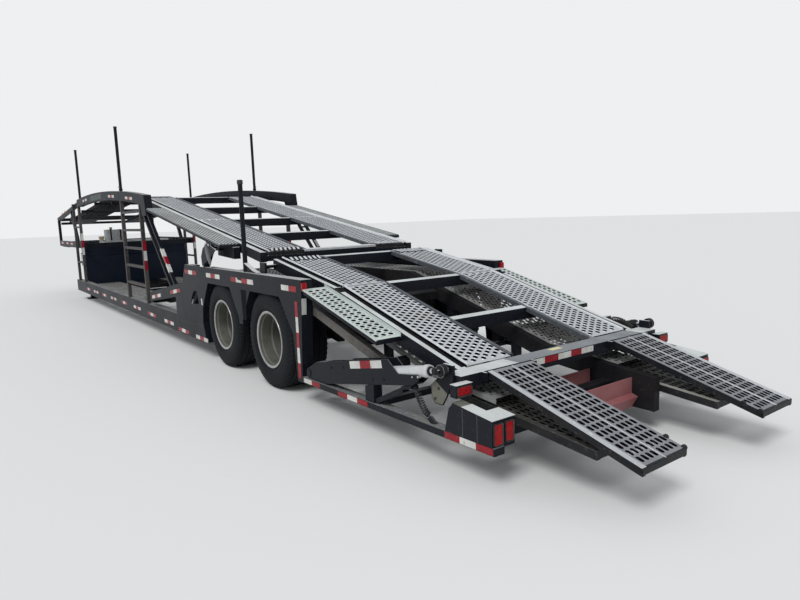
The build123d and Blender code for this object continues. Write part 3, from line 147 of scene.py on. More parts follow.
def weather_group():
    """Weather: a second colour in soft patches, fine specks of a third, and the height that they have."""
    group = bpy.data.node_groups.new("weather", "ShaderNodeTree")
    for name, side, kind, value in (
        ("Colour", "INPUT", "Color", (0.1, 0.1, 0.1, 1)),
        ("Patch Colour", "INPUT", "Color", (0.3, 0.27, 0.23, 1)),
        ("Speck Colour", "INPUT", "Color", (0.5, 0.5, 0.5, 1)),
        ("Patches", "INPUT", "Float", 0.3),
        ("Specks", "INPUT", "Float", 0.2),
        ("Patch Scale", "INPUT", "Float", 2.5),
        ("Speck Scale", "INPUT", "Float", 60.0),
        ("Colour", "OUTPUT", "Color", None),
        ("Patch Mask", "OUTPUT", "Float", None),
        ("Height", "OUTPUT", "Float", None),
    ):
        socket = group.interface.new_socket(name, in_out=side, socket_type=f"NodeSocket{kind}")
        if value is not None:
            socket.default_value = value
    kinds = {"given": "NodeGroupInput", "out": "NodeGroupOutput", "place": "ShaderNodeTexCoord"}
    for name in ("patch", "speck"):
        kinds |= {f"{name} noise": "ShaderNodeTexNoise", f"{name} ramp": "ShaderNodeMapRange",
                  f"{name} amount": "ShaderNodeMath", f"{name} mix": "ShaderNodeMixRGB"}
    wired(
        group,
        kinds,
        {"patch noise/Detail": 6, "patch noise/Roughness": 0.62, "speck noise/Detail": 3,
         "patch ramp/From Min": 0.42, "patch ramp/From Max": 0.72,
         "speck ramp/From Min": 0.6, "speck ramp/From Max": 0.7},
        (("given/Colour", "patch mix/Color1"), ("patch mix/0", "speck mix/Color1"),
         ("speck mix/0", "out/Colour"), ("patch amount/0", "out/Patch Mask"), ("speck noise/Fac", "out/Height")),
    )
    for name, amount in (("patch", "Patches"), ("speck", "Specks")):
        group.nodes[f"{name} amount"].operation = "MULTIPLY"
        wired(group, {}, {}, (
            ("place/Object", f"{name} noise/Vector"), (f"given/{name.title()} Scale", f"{name} noise/Scale"),
            (f"{name} noise/Fac", f"{name} ramp/Value"), (f"{name} ramp/Result", f"{name} amount/0"),
            (f"given/{amount}", f"{name} amount/1"), (f"{name} amount/0", f"{name} mix/Fac"),
            (f"given/{name.title()} Colour", f"{name} mix/Color2"),
        ))
    return group


weather = weather_group()
PATCH_ROUGHER = 0.25
RELIEF_DISTANCE = 0.002


def weather_on(finish, name, values):
    """Places the weather's group in a finish, with the finish's own values."""
    effect = finish.node_tree.nodes.new("ShaderNodeGroup")
    effect.name = name
    effect.node_tree = weather
    for socket, value in zip(effect.inputs, values):
        socket.default_value = (*value, 1) if isinstance(value, tuple) else value


def weathered(
    name, colour, roughness, metallic=0.0, patch=(0.3, 0.27, 0.23), speck=(0.5, 0.5, 0.5),
    amounts=(0.3, 0.2), scales=(2.5, 60), bump=0.15, gloss=0.5, coat=0.0,
):
    """A finish with weather on it: dusty patches that are rougher, chips or specks, and a fine bump.
    Amounts and scales are given for the patches and for the specks."""
    finish = paint(name, colour, roughness, metallic)
    weather_on(finish, "effect", (colour, patch, speck, *amounts, *scales))
    wired(
        finish.node_tree,
        {"rough": "ShaderNodeMapRange", "relief": "ShaderNodeBump"},
        {"rough/To Min": roughness, "rough/To Max": min(1.0, roughness + PATCH_ROUGHER),
         "relief/Strength": bump, "relief/Distance": RELIEF_DISTANCE,
         "Principled BSDF/Specular IOR Level": gloss, "Principled BSDF/Coat Weight": coat},
        (("effect/Colour", "Principled BSDF/Base Color"), ("effect/Patch Mask", "rough/Value"),
         ("rough/Result", "Principled BSDF/Roughness"), ("effect/Height", "relief/Height"),
         ("relief/Normal", "Principled BSDF/Normal")),
    )
    return finish


cord_rubber = weathered(
    "cord_rubber", (0.018, 0.018, 0.019), 0.42, patch=(0.09, 0.08, 0.07), amounts=(0.35, 0.05), scales=(9, 60),
)
CURLY_OUTER = 0.050
CURLY_WIRE = 0.011
CURLY_PITCH = 0.0185
CURLY_STRAIGHT = 0.008
CURLY_STEPS = 14
CURLY_EASE = 20
LINE_STEPS = 24
# Each cord: its name, its Y, the body that it rides, and the (x, z) control points of its route
CURLY_CORDS = (
    ("left", 1.247, "trailer",
     ((-7.015, 0.490), (-7.0404, 0.4379), (-7.0728, 0.3898), (-7.1131, 0.3481), (-7.1612, 0.3157))),
    ("right", -1.115, "rear_deck",
     ((-6.966, 0.690), (-7.034, 0.700), (-7.100, 0.690), (-7.164, 0.658), (-7.222, 0.621))),
)


def spline_curve(kind, points):
    """A curve with one spline on its points."""
    curve = bpy.data.curves.new("line", "CURVE")
    curve.dimensions = "3D"
    curve.resolution_u = LINE_STEPS
    spline = curve.splines.new(kind)
    spline.points.add(len(points) - 1)
    for control, place in zip(spline.points, points):
        control.co = (*place, 1)
    return curve


def meshed(curve):
    """A curve made a mesh."""
    holder = bpy.data.objects.new("line", curve)
    mesh = bpy.data.meshes.new_from_object(holder)
    bpy.data.objects.remove(holder)
    return mesh


def smooth_line(points):
    """The points that a NURBS spline through control points runs along."""
    curve = spline_curve("NURBS", points)
    curve.splines[0].order_u = 3
    curve.splines[0].use_endpoint_u = True
    return [v.co.copy() for v in meshed(curve).vertices]


def run_length(line):
    """The length of a line of points."""
    return sum((b - a).length for a, b in zip(line, line[1:]))


def station(line, distance):
    """The point and the direction of a line at a distance along it."""
    for a, b in zip(line, line[1:]):
        step = (b - a).length
        if distance <= step or b is line[-1]:
            return a + (b - a) * min(1, distance / step), (b - a).normalized()
        distance -= step


for cord_name, cord_y, cord_body, cord_points in CURLY_CORDS:
    line = smooth_line([(x, cord_y, z) for x, z in cord_points])
    coiled_run = run_length(line) - 2 * CURLY_STRAIGHT
    coil_radius = (CURLY_OUTER - CURLY_WIRE) / 2
    turns = round(coiled_run / CURLY_PITCH)
    steps = turns * CURLY_STEPS
    coil = [line[0]]
    side = Vector((0, 1, 0))
    for k in range(steps + 1):
        middle, heading = station(line, CURLY_STRAIGHT + coiled_run * k / steps)
        turn = radians(360) * turns * k / steps
        grow = min(1.0, k / CURLY_EASE, (steps - k) / CURLY_EASE)
        grow = grow * grow * (3 - 2 * grow)
        coil.append(middle + (side * cos(turn) + heading.cross(side) * sin(turn)) * coil_radius * grow)
    coil.append(line[-1])
    wire = spline_curve("POLY", coil)
    wire.bevel_depth = CURLY_WIRE / 2
    wire.bevel_resolution = 2
    cord = bpy.data.objects.new("cord", meshed(wire))
    bpy.context.scene.collection.objects.link(cord)
    cord.data.materials.append(cord_rubber)
    finish_piece(cord, f"curly_lead_{cord_name}", cord_body)
    for face in cord.data.polygons:
        face.use_smooth = True
    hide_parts(f"curly_cord_{cord_name}")

# Perforated tracks
# The wheels' tracks of every deck: galvanised plank with staggered, dimpled holes, a lip down each side
# and, on the upper decks, a bright raised tube along the outer edge. They are bolted on in sections.
galvanised = weathered(
    "galvanised", (0.52, 0.545, 0.57), 0.42, 0.3, patch=(0.40, 0.38, 0.35), speck=(0.86, 0.88, 0.90),
    amounts=(0.5, 0.4), scales=(3.5, 34), bump=0.2,
)
galvanised_dull = weathered(
    "galvanised_dull", (0.29, 0.29, 0.285), 0.55, 0.2, patch=(0.17, 0.155, 0.14), speck=(0.42, 0.42, 0.42),
    amounts=(0.7, 0.3), scales=(3, 40), bump=0.2,
)
bright_edge = weathered(
    "bright_edge", (0.74, 0.76, 0.78), 0.30, 0.4, patch=(0.36, 0.35, 0.33), speck=(0.9, 0.9, 0.92),
    amounts=(0.4, 0.5), scales=(6, 18), bump=0.1,
)

# Near-black painted shade, for the shadow in holes, slots, gaps and grooves and under gratings
painted_shade_dark = weathered(
    "painted_shade_dark", (0.002, 0.002, 0.004), 0.7, patch=(0.007, 0.006, 0.006), amounts=(0.2, 0.01), bump=0.05,
    gloss=0.1,
)
HOLE_DEPTH = 0.013
SHEET_MERGE = 0.0002
SHEET_END = 0.015
STEEP = 0.2


def edit_all():
    """Opens the active piece for editing with all of it selected."""
    bpy.ops.object.mode_set(mode="EDIT")
    bpy.ops.mesh.select_all(action="SELECT")


def edit_done(merge=0.0):
    """Merges the doubles of the open piece, turns its faces outwards and closes it."""
    bpy.ops.mesh.select_all(action="SELECT")
    if merge:
        bpy.ops.mesh.remove_doubles(threshold=merge)
    bpy.ops.mesh.normals_make_consistent(inside=False)
    bpy.ops.object.mode_set(mode="OBJECT")


def extruded(x, y, z):
    """The open piece's selected faces extruded by a step."""
    bpy.ops.mesh.extrude_region_move(TRANSFORM_OT_translate={"value": (x, y, z)})


def hole_cell(pitch_x, pitch_y, hole, dimple, rise, sides):
    """One cell of a perforated sheet: the hole's wall, a raised rim round it and flat plate out to its edges."""
    bpy.ops.object.select_all(action="DESELECT")
    bpy.ops.mesh.primitive_circle_add(vertices=sides, radius=hole / 2, fill_type="NOTHING")
    cell = bpy.context.object
    cell.rotation_euler.z = radians(180 / sides)
    bpy.ops.object.transform_apply(location=False, rotation=True, scale=False)
    edit_all()
    bpy.ops.transform.translate(value=(0, 0, -HOLE_DEPTH))
    bpy.ops.mesh.extrude_edges_move(TRANSFORM_OT_translate={"value": (0, 0, HOLE_DEPTH + rise)})
    if rise:
        bpy.ops.mesh.extrude_edges_move(TRANSFORM_OT_translate={"value": (0, 0, -rise)})
        bpy.ops.transform.resize(value=(dimple / hole, dimple / hole, 1))
    bpy.ops.mesh.extrude_edges_move(TRANSFORM_OT_translate={"value": (0, 0, 0)})
    bpy.ops.object.mode_set(mode="OBJECT")
    for corner in [v for v in cell.data.vertices if v.select]:
        reach = max(abs(corner.co.x), abs(corner.co.y))
        corner.co.x *= pitch_x / 2 / reach
        corner.co.y *= pitch_y / 2 / reach
    return cell


def repeated(piece, count, step):
    """The piece repeated along a step by an array, its neighbours' doubles merged."""
    array = settled(piece).modifiers.new("row", "ARRAY")
    array.use_relative_offset = False
    array.use_constant_offset = True
    array.constant_offset_displace = step
    array.count = count
    array.use_merge_vertices = True
    array.merge_threshold = SHEET_MERGE
    bpy.ops.object.modifier_apply(modifier="row")
    return piece


def flat(x0, x1, y0, y1):
    """A plain rectangle of sheet."""
    bpy.ops.object.select_all(action="DESELECT")
    bpy.ops.mesh.primitive_plane_add(size=1, location=((x0 + x1) / 2, (y0 + y1) / 2, 0))
    bpy.context.object.scale = (x1 - x0, y1 - y0, 1)
    return bpy.context.object


def coated(piece, finish):
    """The piece with one finish all over."""
    piece.data.materials.clear()
    piece.data.materials.append(finish)
    return piece


def walled(sheet, finish):
    """A flat sheet in its finish, with the pressed walls of its holes in near-black painted shade."""
    coated(sheet, finish)
    sheet.data.materials.append(painted_shade_dark)
    for face in sheet.data.polygons:
        face.material_index = int(abs(face.normal.z) < STEEP and face.center.z < 0)
    return sheet


def joined(pieces):
    """Several objects made one."""
    bpy.ops.object.select_all(action="DESELECT")
    for piece in pieces:
        piece.select_set(True)
    bpy.context.view_layer.objects.active = pieces[0]
    bpy.ops.object.transform_apply(location=True, rotation=True, scale=True)
    if len(pieces) > 1:
        bpy.ops.object.join()
    return pieces[0]


def one_sheet(pieces):
    """Flat pieces made one sheet that faces up."""
    sheet = joined(pieces)
    bpy.ops.object.mode_set(mode="EDIT")
    edit_done(SHEET_MERGE)
    if sum(f.normal.z * f.area for f in sheet.data.polygons) < 0:
        sheet.data.flip_normals()
    return sheet


def perforated_sheet(length, width, columns, pitch, hole, dimple, rise, sides, margin):
    """Sheet from the origin along X and across Y, with staggered holes in an even number of columns."""
    rows = max(2, round((length - 2 * SHEET_END) / pitch))
    pitch_x = (length - 2 * SHEET_END) / rows
    pitch_y = (width - 2 * margin) / columns
    strips = []
    for shift in (0, 1):
        cell = hole_cell(pitch_x, pitch_y, hole, dimple, rise, sides)
        cell.location = (SHEET_END + pitch_x * (shift + 1) / 2, margin + pitch_y * (shift + 0.5), 0)
        column = [repeated(cell, rows - shift, (pitch_x, 0, 0))]
        y0 = margin + pitch_y * shift
        inset = SHEET_END + shift * pitch_x / 2
        column.append(flat(0, inset, y0, y0 + pitch_y))
        column.append(flat(length - inset, length, y0, y0 + pitch_y))
        strips.append(repeated(joined(column), columns // 2, (0, 2 * pitch_y, 0)))
    return one_sheet(strips + [flat(0, length, 0, margin), flat(0, length, width - margin, width)])


def laid(sheet, start, end, y):
    """A flat sheet laid on the line between two (x, z) points, its near edge at y."""
    run = (end[0] - start[0], end[1] - start[1])
    length = (run[0] ** 2 + run[1] ** 2) ** 0.5
    along, above = (run[0] / length, run[1] / length), (-run[1] / length, run[0] / length)
    if above[1] < 0:
        above = (-above[0], -above[1])
    for v in sheet.data.vertices:
        s, across, height = v.co
        v.co = (start[0] + along[0] * s + above[0] * height, y + across, start[1] + along[1] * s + above[1] * height)
    if run[0] < 0:
        sheet.data.flip_normals()
    return sheet


def planked(line, width, y, finish, holes):
    """Perforated sheets laid end to end along a line of (x, z) points, their near edges at y."""
    return [
        laid(walled(perforated_sheet(dist(start, end), width, *holes), finish), start, end, y)
        for start, end in zip(line, line[1:])
    ]


def outlined(points, fill="NGON"):
    """A closed outline of (x, y, z) points."""
    bpy.ops.object.select_all(action="DESELECT")
    bpy.ops.mesh.primitive_circle_add(vertices=len(points), radius=1, fill_type=fill)
    for corner, place in zip(bpy.context.object.data.vertices, points):
        corner.co = place
    return bpy.context.object


def carried(line, section):
    """A closed section of (y, z) points carried along a line of (x, z) points by extrusion."""
    bar = outlined([(line[0][0], y, line[0][1] + z) for y, z in section])
    bpy.ops.object.mode_set(mode="EDIT")
    bpy.ops.mesh.select_mode(type="FACE")
    for (x0, z0), (x1, z1) in zip(line, line[1:]):
        extruded(x1 - x0, 0, z1 - z0)
    edit_done()
    return bar


def oblong(y0, y1, z0, z1):
    """The four corners of a flat section."""
    return [(y0, z0), (y1, z0), (y1, z1), (y0, z1)]


def cut_line(line, x0, x1):
    """The stretch of an (x, z) line between two stations, x0 in front of x1."""
    def height(x):
        for (xa, za), (xb, zb) in zip(line, line[1:]):
            if xb <= x <= xa:
                return za + (zb - za) * (x - xa) / (xb - xa)
        return line[0][1] if x > line[0][0] else line[-1][1]
    return [(x0, height(x0)), *[p for p in line if x1 < p[0] < x0], (x1, height(x1))]


def mirrored(piece):
    """A copy of a piece on the other side of the trailer, with its own mesh."""
    settled(piece)
    bpy.ops.object.duplicate()
    copy = bpy.context.object
    for v in copy.data.vertices:
        v.co.y = -v.co.y
    copy.data.flip_normals()
    return copy


def sided(name, side):
    """The name of one of a pair: its side stands for the star, or at the end."""
    return name.replace("*", side) if "*" in name else f"{name}_{side}"


def paired(piece, name, body, replaced=None):
    """The piece and its mirror image, fixed to both sides. A moving body may have one on each side."""
    for side, copy in (("left", piece), ("right", mirrored(piece))):
        finish_piece(copy, sided(name, side), body if body in frame["bodies"] else sided(body, side))
        if replaced:
            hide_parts(sided(replaced, side))


TRACK_OUTER_Y = 0.970
TRACK_INNER_Y = 0.500
TRACK_DEPTH = 0.045
PLANK = 0.006
LIP_WIDTH = 0.026
TUBE_OUTER_Y = 0.950
LIP_RISE = 0.020
SECTION_GAP = 0.016
# A sheet's holes: columns, pitch, hole, dimple, rise, sides and the plain margin
TRACK_HOLES = (8, 0.068, 0.0425, 0.0500, 0.004, 12, 0.006)
FRONT_DECK_TOP = ((0.700, 2.170), (-4.030, 1.370))
REAR_DECK_TOP = ((-4.350, 1.310), (-5.590, 1.092), (-7.240, 0.640))
# Each pair of tracks: its name, line, body, the stations where its sections meet, and the Y to which the
# gap beside it is in painted shade
TRACKS = (
    ("front_deck_track", FRONT_DECK_TOP, "front_deck", (0.700, -1.800, -4.030), 0.982),
    ("rear_deck_track", REAR_DECK_TOP, "rear_deck", (-4.350, -5.590, -7.240), 1.003),
)
# The outer tube's section, from its outer face and the track's top
TUBE_SECTION = (
    (-LIP_WIDTH, -PLANK), (-LIP_WIDTH, LIP_RISE * 0.55), (-LIP_WIDTH * 0.75, LIP_RISE * 0.9),
    (-LIP_WIDTH * 0.45, LIP_RISE), (-0.004, LIP_RISE * 0.75), (0, LIP_RISE * 0.3), (0, -TRACK_DEPTH),
    (-PLANK, -TRACK_DEPTH), (-PLANK, -PLANK),
)
for track_name, track_line, track_body, joints, shade_y in TRACKS:
    parts = []
    # Painted shade in the gap between the tube and the rail beside it, and over the tube's lower outer wall
    gutter_shade = [
        (TUBE_OUTER_Y, 0.008), (TUBE_OUTER_Y + 0.0015, 0.008), (TUBE_OUTER_Y + 0.0015, -0.030),
        (TRACK_OUTER_Y, -0.030), (TRACK_OUTER_Y, 0.0015), (shade_y, 0.0015), (shade_y, 0.0005),
        (TRACK_OUTER_Y, 0.0005), (TRACK_OUTER_Y - 0.001, -0.034), (TUBE_OUTER_Y, -0.034),
    ]
    for x0, x1 in zip(joints, joints[1:]):
        stretch = cut_line(track_line, x0, x1 + SECTION_GAP)
        parts += planked(stretch, TUBE_OUTER_Y - TRACK_INNER_Y - LIP_WIDTH, TRACK_INNER_Y, galvanised, TRACK_HOLES)
        for section, finish in (
            ([(TUBE_OUTER_Y + y, z) for y, z in TUBE_SECTION], bright_edge),
            (gutter_shade, painted_shade_dark),
            (oblong(TRACK_INNER_Y, TRACK_INNER_Y + PLANK, 0, -TRACK_DEPTH), galvanised),
        ):
            parts.append(coated(carried(stretch, section), finish))
    paired(joined(parts), f"{track_name}_*_plank", track_body, track_name)

# Lower deck tracks
# The same plank, older and duller, with plain punched holes. It runs from the belly up over the wheels
# and down to the tail.
LOWER_DECK_TOP = ((5.600, 0.360), (1.600, 0.360), (-2.600, 1.085), (-4.850, 1.085), (-5.400, 0.925),
                  (-6.800, 0.530), (-7.500, 0.465))
LOWER_OUTER_Y = 0.945
LOWER_INNER_Y = 0.465
LOWER_LIP = 0.04
LOWER_HOLES = (6, 0.092, 0.030, 0.030, 0, 8, 0.02)
parts = planked(
    LOWER_DECK_TOP, LOWER_OUTER_Y - LOWER_INNER_Y - 2 * PLANK, LOWER_INNER_Y + PLANK, galvanised_dull, LOWER_HOLES
)
for y in (LOWER_INNER_Y, LOWER_OUTER_Y - PLANK):
    parts.append(coated(carried(LOWER_DECK_TOP, oblong(y, y + PLANK, 0, -LOWER_LIP)), galvanised_dull))
paired(joined(parts), "lower_deck_plank", "trailer", "lower_deck_track")

# Frame paint
# Steel frames in satin charcoal, dusty on top and chipped. The decks' rails, bars and walkways, the side
# bodies and the other rails have a painted highlight: their upper faces lighter, as where light falls from above.
frame_dark = weathered(
    "frame_dark", (0.006, 0.008, 0.013), 0.42, patch=(0.019, 0.020, 0.024), speck=(0.10, 0.10, 0.10),
    amounts=(0.4, 0.14), scales=(1.7, 42), bump=0.12, gloss=0.15,
)
frame_rusty = weathered(
    "frame_rusty", (0.030, 0.029, 0.031), 0.5, patch=(0.115, 0.090, 0.078), speck=(0.22, 0.16, 0.13),
    amounts=(0.6, 0.35), scales=(2.6, 30), bump=0.2, gloss=0.2,
)
underside = weathered(
    "underside", (0.008, 0.008, 0.010), 0.6, patch=(0.034, 0.031, 0.029), speck=(0.09, 0.07, 0.06),
    amounts=(0.5, 0.2), scales=(2.2, 36), bump=0.2, gloss=0.15,
)
navy_panel = weathered(
    "navy_panel", (0.006, 0.011, 0.024), 0.38, patch=(0.030, 0.032, 0.042), speck=(0.06, 0.06, 0.07),
    amounts=(0.35, 0.1), scales=(1.3, 30), bump=0.08, gloss=0.15,
)
tank_grey = weathered(
    "tank_grey", (0.50, 0.52, 0.53), 0.45, patch=(0.25, 0.22, 0.18), speck=(0.35, 0.28, 0.2),
    amounts=(0.5, 0.25), scales=(4, 30), bump=0.1,
)
faded_red = weathered(
    "faded_red", (0.24, 0.075, 0.08), 0.55, patch=(0.30, 0.16, 0.16), speck=(0.16, 0.12, 0.11),
    amounts=(0.7, 0.5), scales=(3.2, 22), bump=0.15,
)
ladder_paint = weathered(
    "ladder_paint", (0.042, 0.039, 0.039), 0.5, patch=(0.13, 0.115, 0.108), speck=(0.26, 0.22, 0.19),
    amounts=(0.6, 0.35), scales=(2.6, 30), bump=0.2, gloss=0.2,
)
# The dishes' barrels: the silver darkened to olive grey as painted shade
dish_barrel_shade = weathered(
    "dish_barrel_shade", (0.13, 0.13, 0.112), 0.5, 0.2, patch=(0.045, 0.042, 0.034), speck=(0.20, 0.19, 0.16),
    amounts=(0.7, 0.3), scales=(5, 26), bump=0.12, gloss=0.3,
)
rim_silver = weathered(
    "rim_silver", (0.40, 0.40, 0.39), 0.36, 0.5, patch=(0.17, 0.155, 0.13), speck=(0.09, 0.08, 0.07),
    amounts=(0.7, 0.35), scales=(5, 26), bump=0.12,
)
polished_rod = weathered(
    "polished_rod", (0.72, 0.73, 0.75), 0.16, 1.0, patch=(0.4, 0.38, 0.35), speck=(0.2, 0.19, 0.18),
    amounts=(0.3, 0.15), scales=(12, 60), bump=0.03,
)
# The painted highlight's own weather on the upper faces: its patches, its specks, their amounts and scales,
# and the slope from which a face counts as an upper one
HIGHLIGHT_WEATHER = ((0.30, 0.28, 0.25), (0.7, 0.72, 0.72), 0.5, 0.35, 3.0, 30.0)
UPWARD_FROM, UPWARD_TO = 0.80, 0.86


def highlight_topped(name, dark, bright):
    """The dark paint of one finish, with a painted highlight: its upper faces in a brighter colour."""
    finish = dark.copy()
    finish.name = name
    weather_on(finish, "bright effect", (bright, *HIGHLIGHT_WEATHER))
    wired(
        finish.node_tree,
        {"place": "ShaderNodeTexCoord", "split": "ShaderNodeSeparateXYZ", "upward": "ShaderNodeMapRange",
         "mix": "ShaderNodeMixRGB"},
        {"upward/From Min": UPWARD_FROM, "upward/From Max": UPWARD_TO},
        (("place/Normal", "split/0"), ("split/Z", "upward/Value"), ("upward/Result", "mix/Fac"),
         ("effect/Colour", "mix/Color1"), ("bright effect/Colour", "mix/Color2"),
         ("mix/0", "Principled BSDF/Base Color")),
    )
    return finish


# Three finishes with a painted highlight on their upper faces
deck_frame_highlit = highlight_topped("deck_frame_highlit", frame_dark, (0.58, 0.61, 0.61))
rail_highlit = highlight_topped("rail_highlit", frame_dark, (0.17, 0.18, 0.185))
body_highlit = highlight_topped("body_highlit", frame_dark, (0.40, 0.41, 0.42))
# The CAD nodes in each finish. A star stands for the left and the right one.
NODE_FINISHES = (
    (("front_deck_frame", "rear_deck_frame"), deck_frame_highlit),
    (("side_body_*",), body_highlit),
    (("side_sill_*", "tail_frame_*", "lift_arm_*", "gooseneck", "headrack_arch_*"), rail_highlit),
    (("brace_*", "mid_pole_left", "front_lift_barrel_*"), frame_dark),
    (("front_ladder_*", "rear_ladder_*"), ladder_paint),
    # The wheels' rims take this dark finish as painted shade inside their dishes
    (("bogie", "axle_front", "axle_rear", "belly_frame", "lower_deck_frame", "landing_leg_*", "head_deck",
      "rim_front_*", "rim_rear_*"), underside),
    (("bulkhead",), navy_panel),
    (("power_pack",), tank_grey),
    (("red_crossplate_front", "red_crossplate_rear"), faded_red),
    (("lift_rod_*", "front_lift_rod_*"), polished_rod),
)
for node_names, finish in NODE_FINISHES:
    for node_name in node_names:
        for side in ("left", "right"):
            for place in frame["nodes"][node_name.replace("*", side)].material_slots:
                place.material = finish

# Tyres
# Wide-base radials: ribbed tread with worn shoulder blocks, smooth bulged sidewalls with a kerb ring.
tyre_rubber = weathered(
    "tyre_rubber", (0.006, 0.007, 0.010), 0.62, patch=(0.018, 0.017, 0.018), speck=(0.035, 0.033, 0.032),
    amounts=(0.45, 0.3), scales=(3.5, 50), bump=0.25, gloss=0.15,
)
TYRE_OUTER_Y = 1.280
TYRE_WIDTH = 0.445
TYRE_R = 0.508
TYRE_CENTRES = (("front", -3.330), ("rear", -4.600))
BLOCKS = 60
GROOVE = 0.010
# The notches between the shoulder's blocks: where they lie across the tread, their reach, width and depth
NOTCH_Y = (0.165, 0.206)
NOTCH_REACH = 0.04
NOTCH_SHARE = 0.26
NOTCH_DEPTH = 0.010
SIDEWALL_Y = 0.2
# Half of the tyre's section from the tread's middle: (distance from the middle, depth under the tread)
SECTION = (
    (0.000, 0), (0.020, 0), (0.024, GROOVE), (0.034, GROOVE), (0.038, 0), (0.082, 0), (0.086, GROOVE),
    (0.096, GROOVE), (0.100, 0.001), (0.150, 0.003), (0.154, 0.012), (0.160, 0.012), (0.164, 0.004),
    (0.190, 0.010), (0.204, 0.030), (0.212, 0.060), (0.2175, 0.085), (0.2195, 0.100), (0.2185, 0.104),
    (0.222, 0.125), (0.2215, 0.155), (0.214, 0.185), (0.204, 0.196), (0.1975, 0.204), (0.1975, 0.2095),
    (0.1905, 0.2215),
)


def spun(steps, merge):
    """The open outline spun round the Y axis into a closed piece."""
    bpy.ops.mesh.select_all(action="SELECT")
    bpy.ops.mesh.spin(steps=steps, angle=radians(360), center=(0, 0, 0), axis=(0, 1, 0))
    edit_done(merge)


half = [(d, TYRE_R - depth) for d, depth in SECTION]
rows = [(-d, r) for d, r in reversed(half[1:])] + half
tyre = outlined([(r, y, 0) for y, r in rows], "NOTHING")
bpy.ops.object.mode_set(mode="EDIT")
spun(4 * BLOCKS, 0.0001)
for v in tyre.data.vertices:
    share = (atan2(v.co.z, v.co.x) / radians(360) * BLOCKS) % 1
    radius = (v.co.x ** 2 + v.co.z ** 2) ** 0.5
    if NOTCH_Y[0] < abs(v.co.y) < NOTCH_Y[1] and radius > TYRE_R - NOTCH_REACH and share < NOTCH_SHARE:
        v.co.x *= 1 - NOTCH_DEPTH / radius
        v.co.z *= 1 - NOTCH_DEPTH / radius
for face in tyre.data.polygons:
    face.use_smooth = abs(face.center.y) > SIDEWALL_Y
tyre.data.materials.append(tyre_rubber)
for side, sign in (("left", 1), ("right", -1)):
    for axle, x in TYRE_CENTRES:
        settled(tyre)
        bpy.ops.object.duplicate()
        copy = bpy.context.object
        copy.location = (x, sign * (TYRE_OUTER_Y - TYRE_WIDTH / 2), TYRE_R)
        finish_piece(copy, f"tread_{axle}_{side}", f"wheel_{axle}_{side}")
        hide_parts(f"tyre_{axle}_{side}")
bpy.data.objects.remove(tyre)

# Ramps
# Two tail ramps of the same plank, punched with short slots in two columns, between dark side channels.
# Each hangs by a barrel on the rear bar's pin, and its toe has a dark lip with a lug at each corner.
RAMP_TOP = ((-7.432, 0.642), (-8.600, 0.318))
RAMP_INNER_Y = 0.493
RAMP_WIDTH = 0.452
RAMP_DEPTH = 0.048
RAMP_ROWS = 17
RAMP_SLOT = 0.032
RAMP_SLOT_STRETCH = 0.022
# The ramp's columns across its width, from its inner edge: (width, slots across, or 0 where it is plain)
RAMP_COLUMNS = ((0.022, 0), (0.184, 4), (0.018, 0), (0.184, 4), (0.044, 0))
RAMP_FLANGE = 0.030
RAMP_RIBS, RAMP_RIB_STEP = 7, 0.155
# The toe's lip, from the toe
TOE_LIP = ((0.020, 0.004), (0, 0.002), (-0.004, -0.004), (-0.004, -0.040), (0.004, -0.040), (0.004, -0.004),
           (0.020, -0.001))
# The barrel's centre, radius and bore
RAMP_BARREL = ((-7.424, 0.622), 0.020, 0.0105)
dark_steel = weathered(
    "dark_steel", (0.012, 0.013, 0.016), 0.45, patch=(0.055, 0.05, 0.045), speck=(0.18, 0.17, 0.16),
    amounts=(0.4, 0.2), scales=(3, 38), bump=0.15, gloss=0.15,
)
ramp_metal = weathered(
    "ramp_metal", (0.25, 0.257, 0.275), 0.42, 0.3, patch=(0.16, 0.155, 0.155), speck=(0.50, 0.51, 0.52),
    amounts=(0.6, 0.3), scales=(4, 40), bump=0.2,
)


def thick(points, x, y, z, soft=0.0):
    """A plate cut to an outline of (x, y, z) points and pushed out to its thickness, its edges softened."""
    piece = outlined(points)
    edit_all()
    extruded(x, y, z)
    if soft:
        bpy.ops.mesh.select_all(action="SELECT")
        bpy.ops.mesh.bevel(offset=soft, segments=2, affect="EDGES")
    edit_done()
    return piece


def plate(outline, y0, y1, soft=0.0):
    """A plate cut to an outline of (x, z) points and as thick as y0 to y1."""
    return thick([(x, y0, z) for x, z in outline], 0, y1 - y0, 0, soft)


def turned(profile, x, y, z, steps=24):
    """A piece turned about a line along Y through (x, z). Its profile is (distance along Y from y, radius)."""
    piece = outlined([(radius, along, 0) for along, radius in profile], "NOTHING")
    closing = {len(profile) - 1, 0}
    bpy.ops.object.mode_set(mode="EDIT")
    bpy.ops.mesh.select_all(action="DESELECT")
    if min(radius for along, radius in profile) == 0:
        bpy.ops.object.mode_set(mode="OBJECT")
        for edge in piece.data.edges:
            edge.select = set(edge.vertices) == closing
        bpy.ops.object.mode_set(mode="EDIT")
        bpy.ops.mesh.select_mode(type="EDGE")
        bpy.ops.mesh.delete(type="EDGE_FACE")
    spun(steps, 0.00005)
    bpy.ops.object.shade_smooth_by_angle(angle=radians(35))
    piece.location = (x, y, z)
    return piece


def capped(profile, x, y, z, steps=24):
    """A turned piece that is closed on its axis at both ends."""
    return turned([(profile[0][0], 0), *profile, (profile[-1][0], 0)], x, y, z, steps)


SLOT_RIM, SLOT_RISE, SLOT_SIDES = 0.010, 0.003, 12


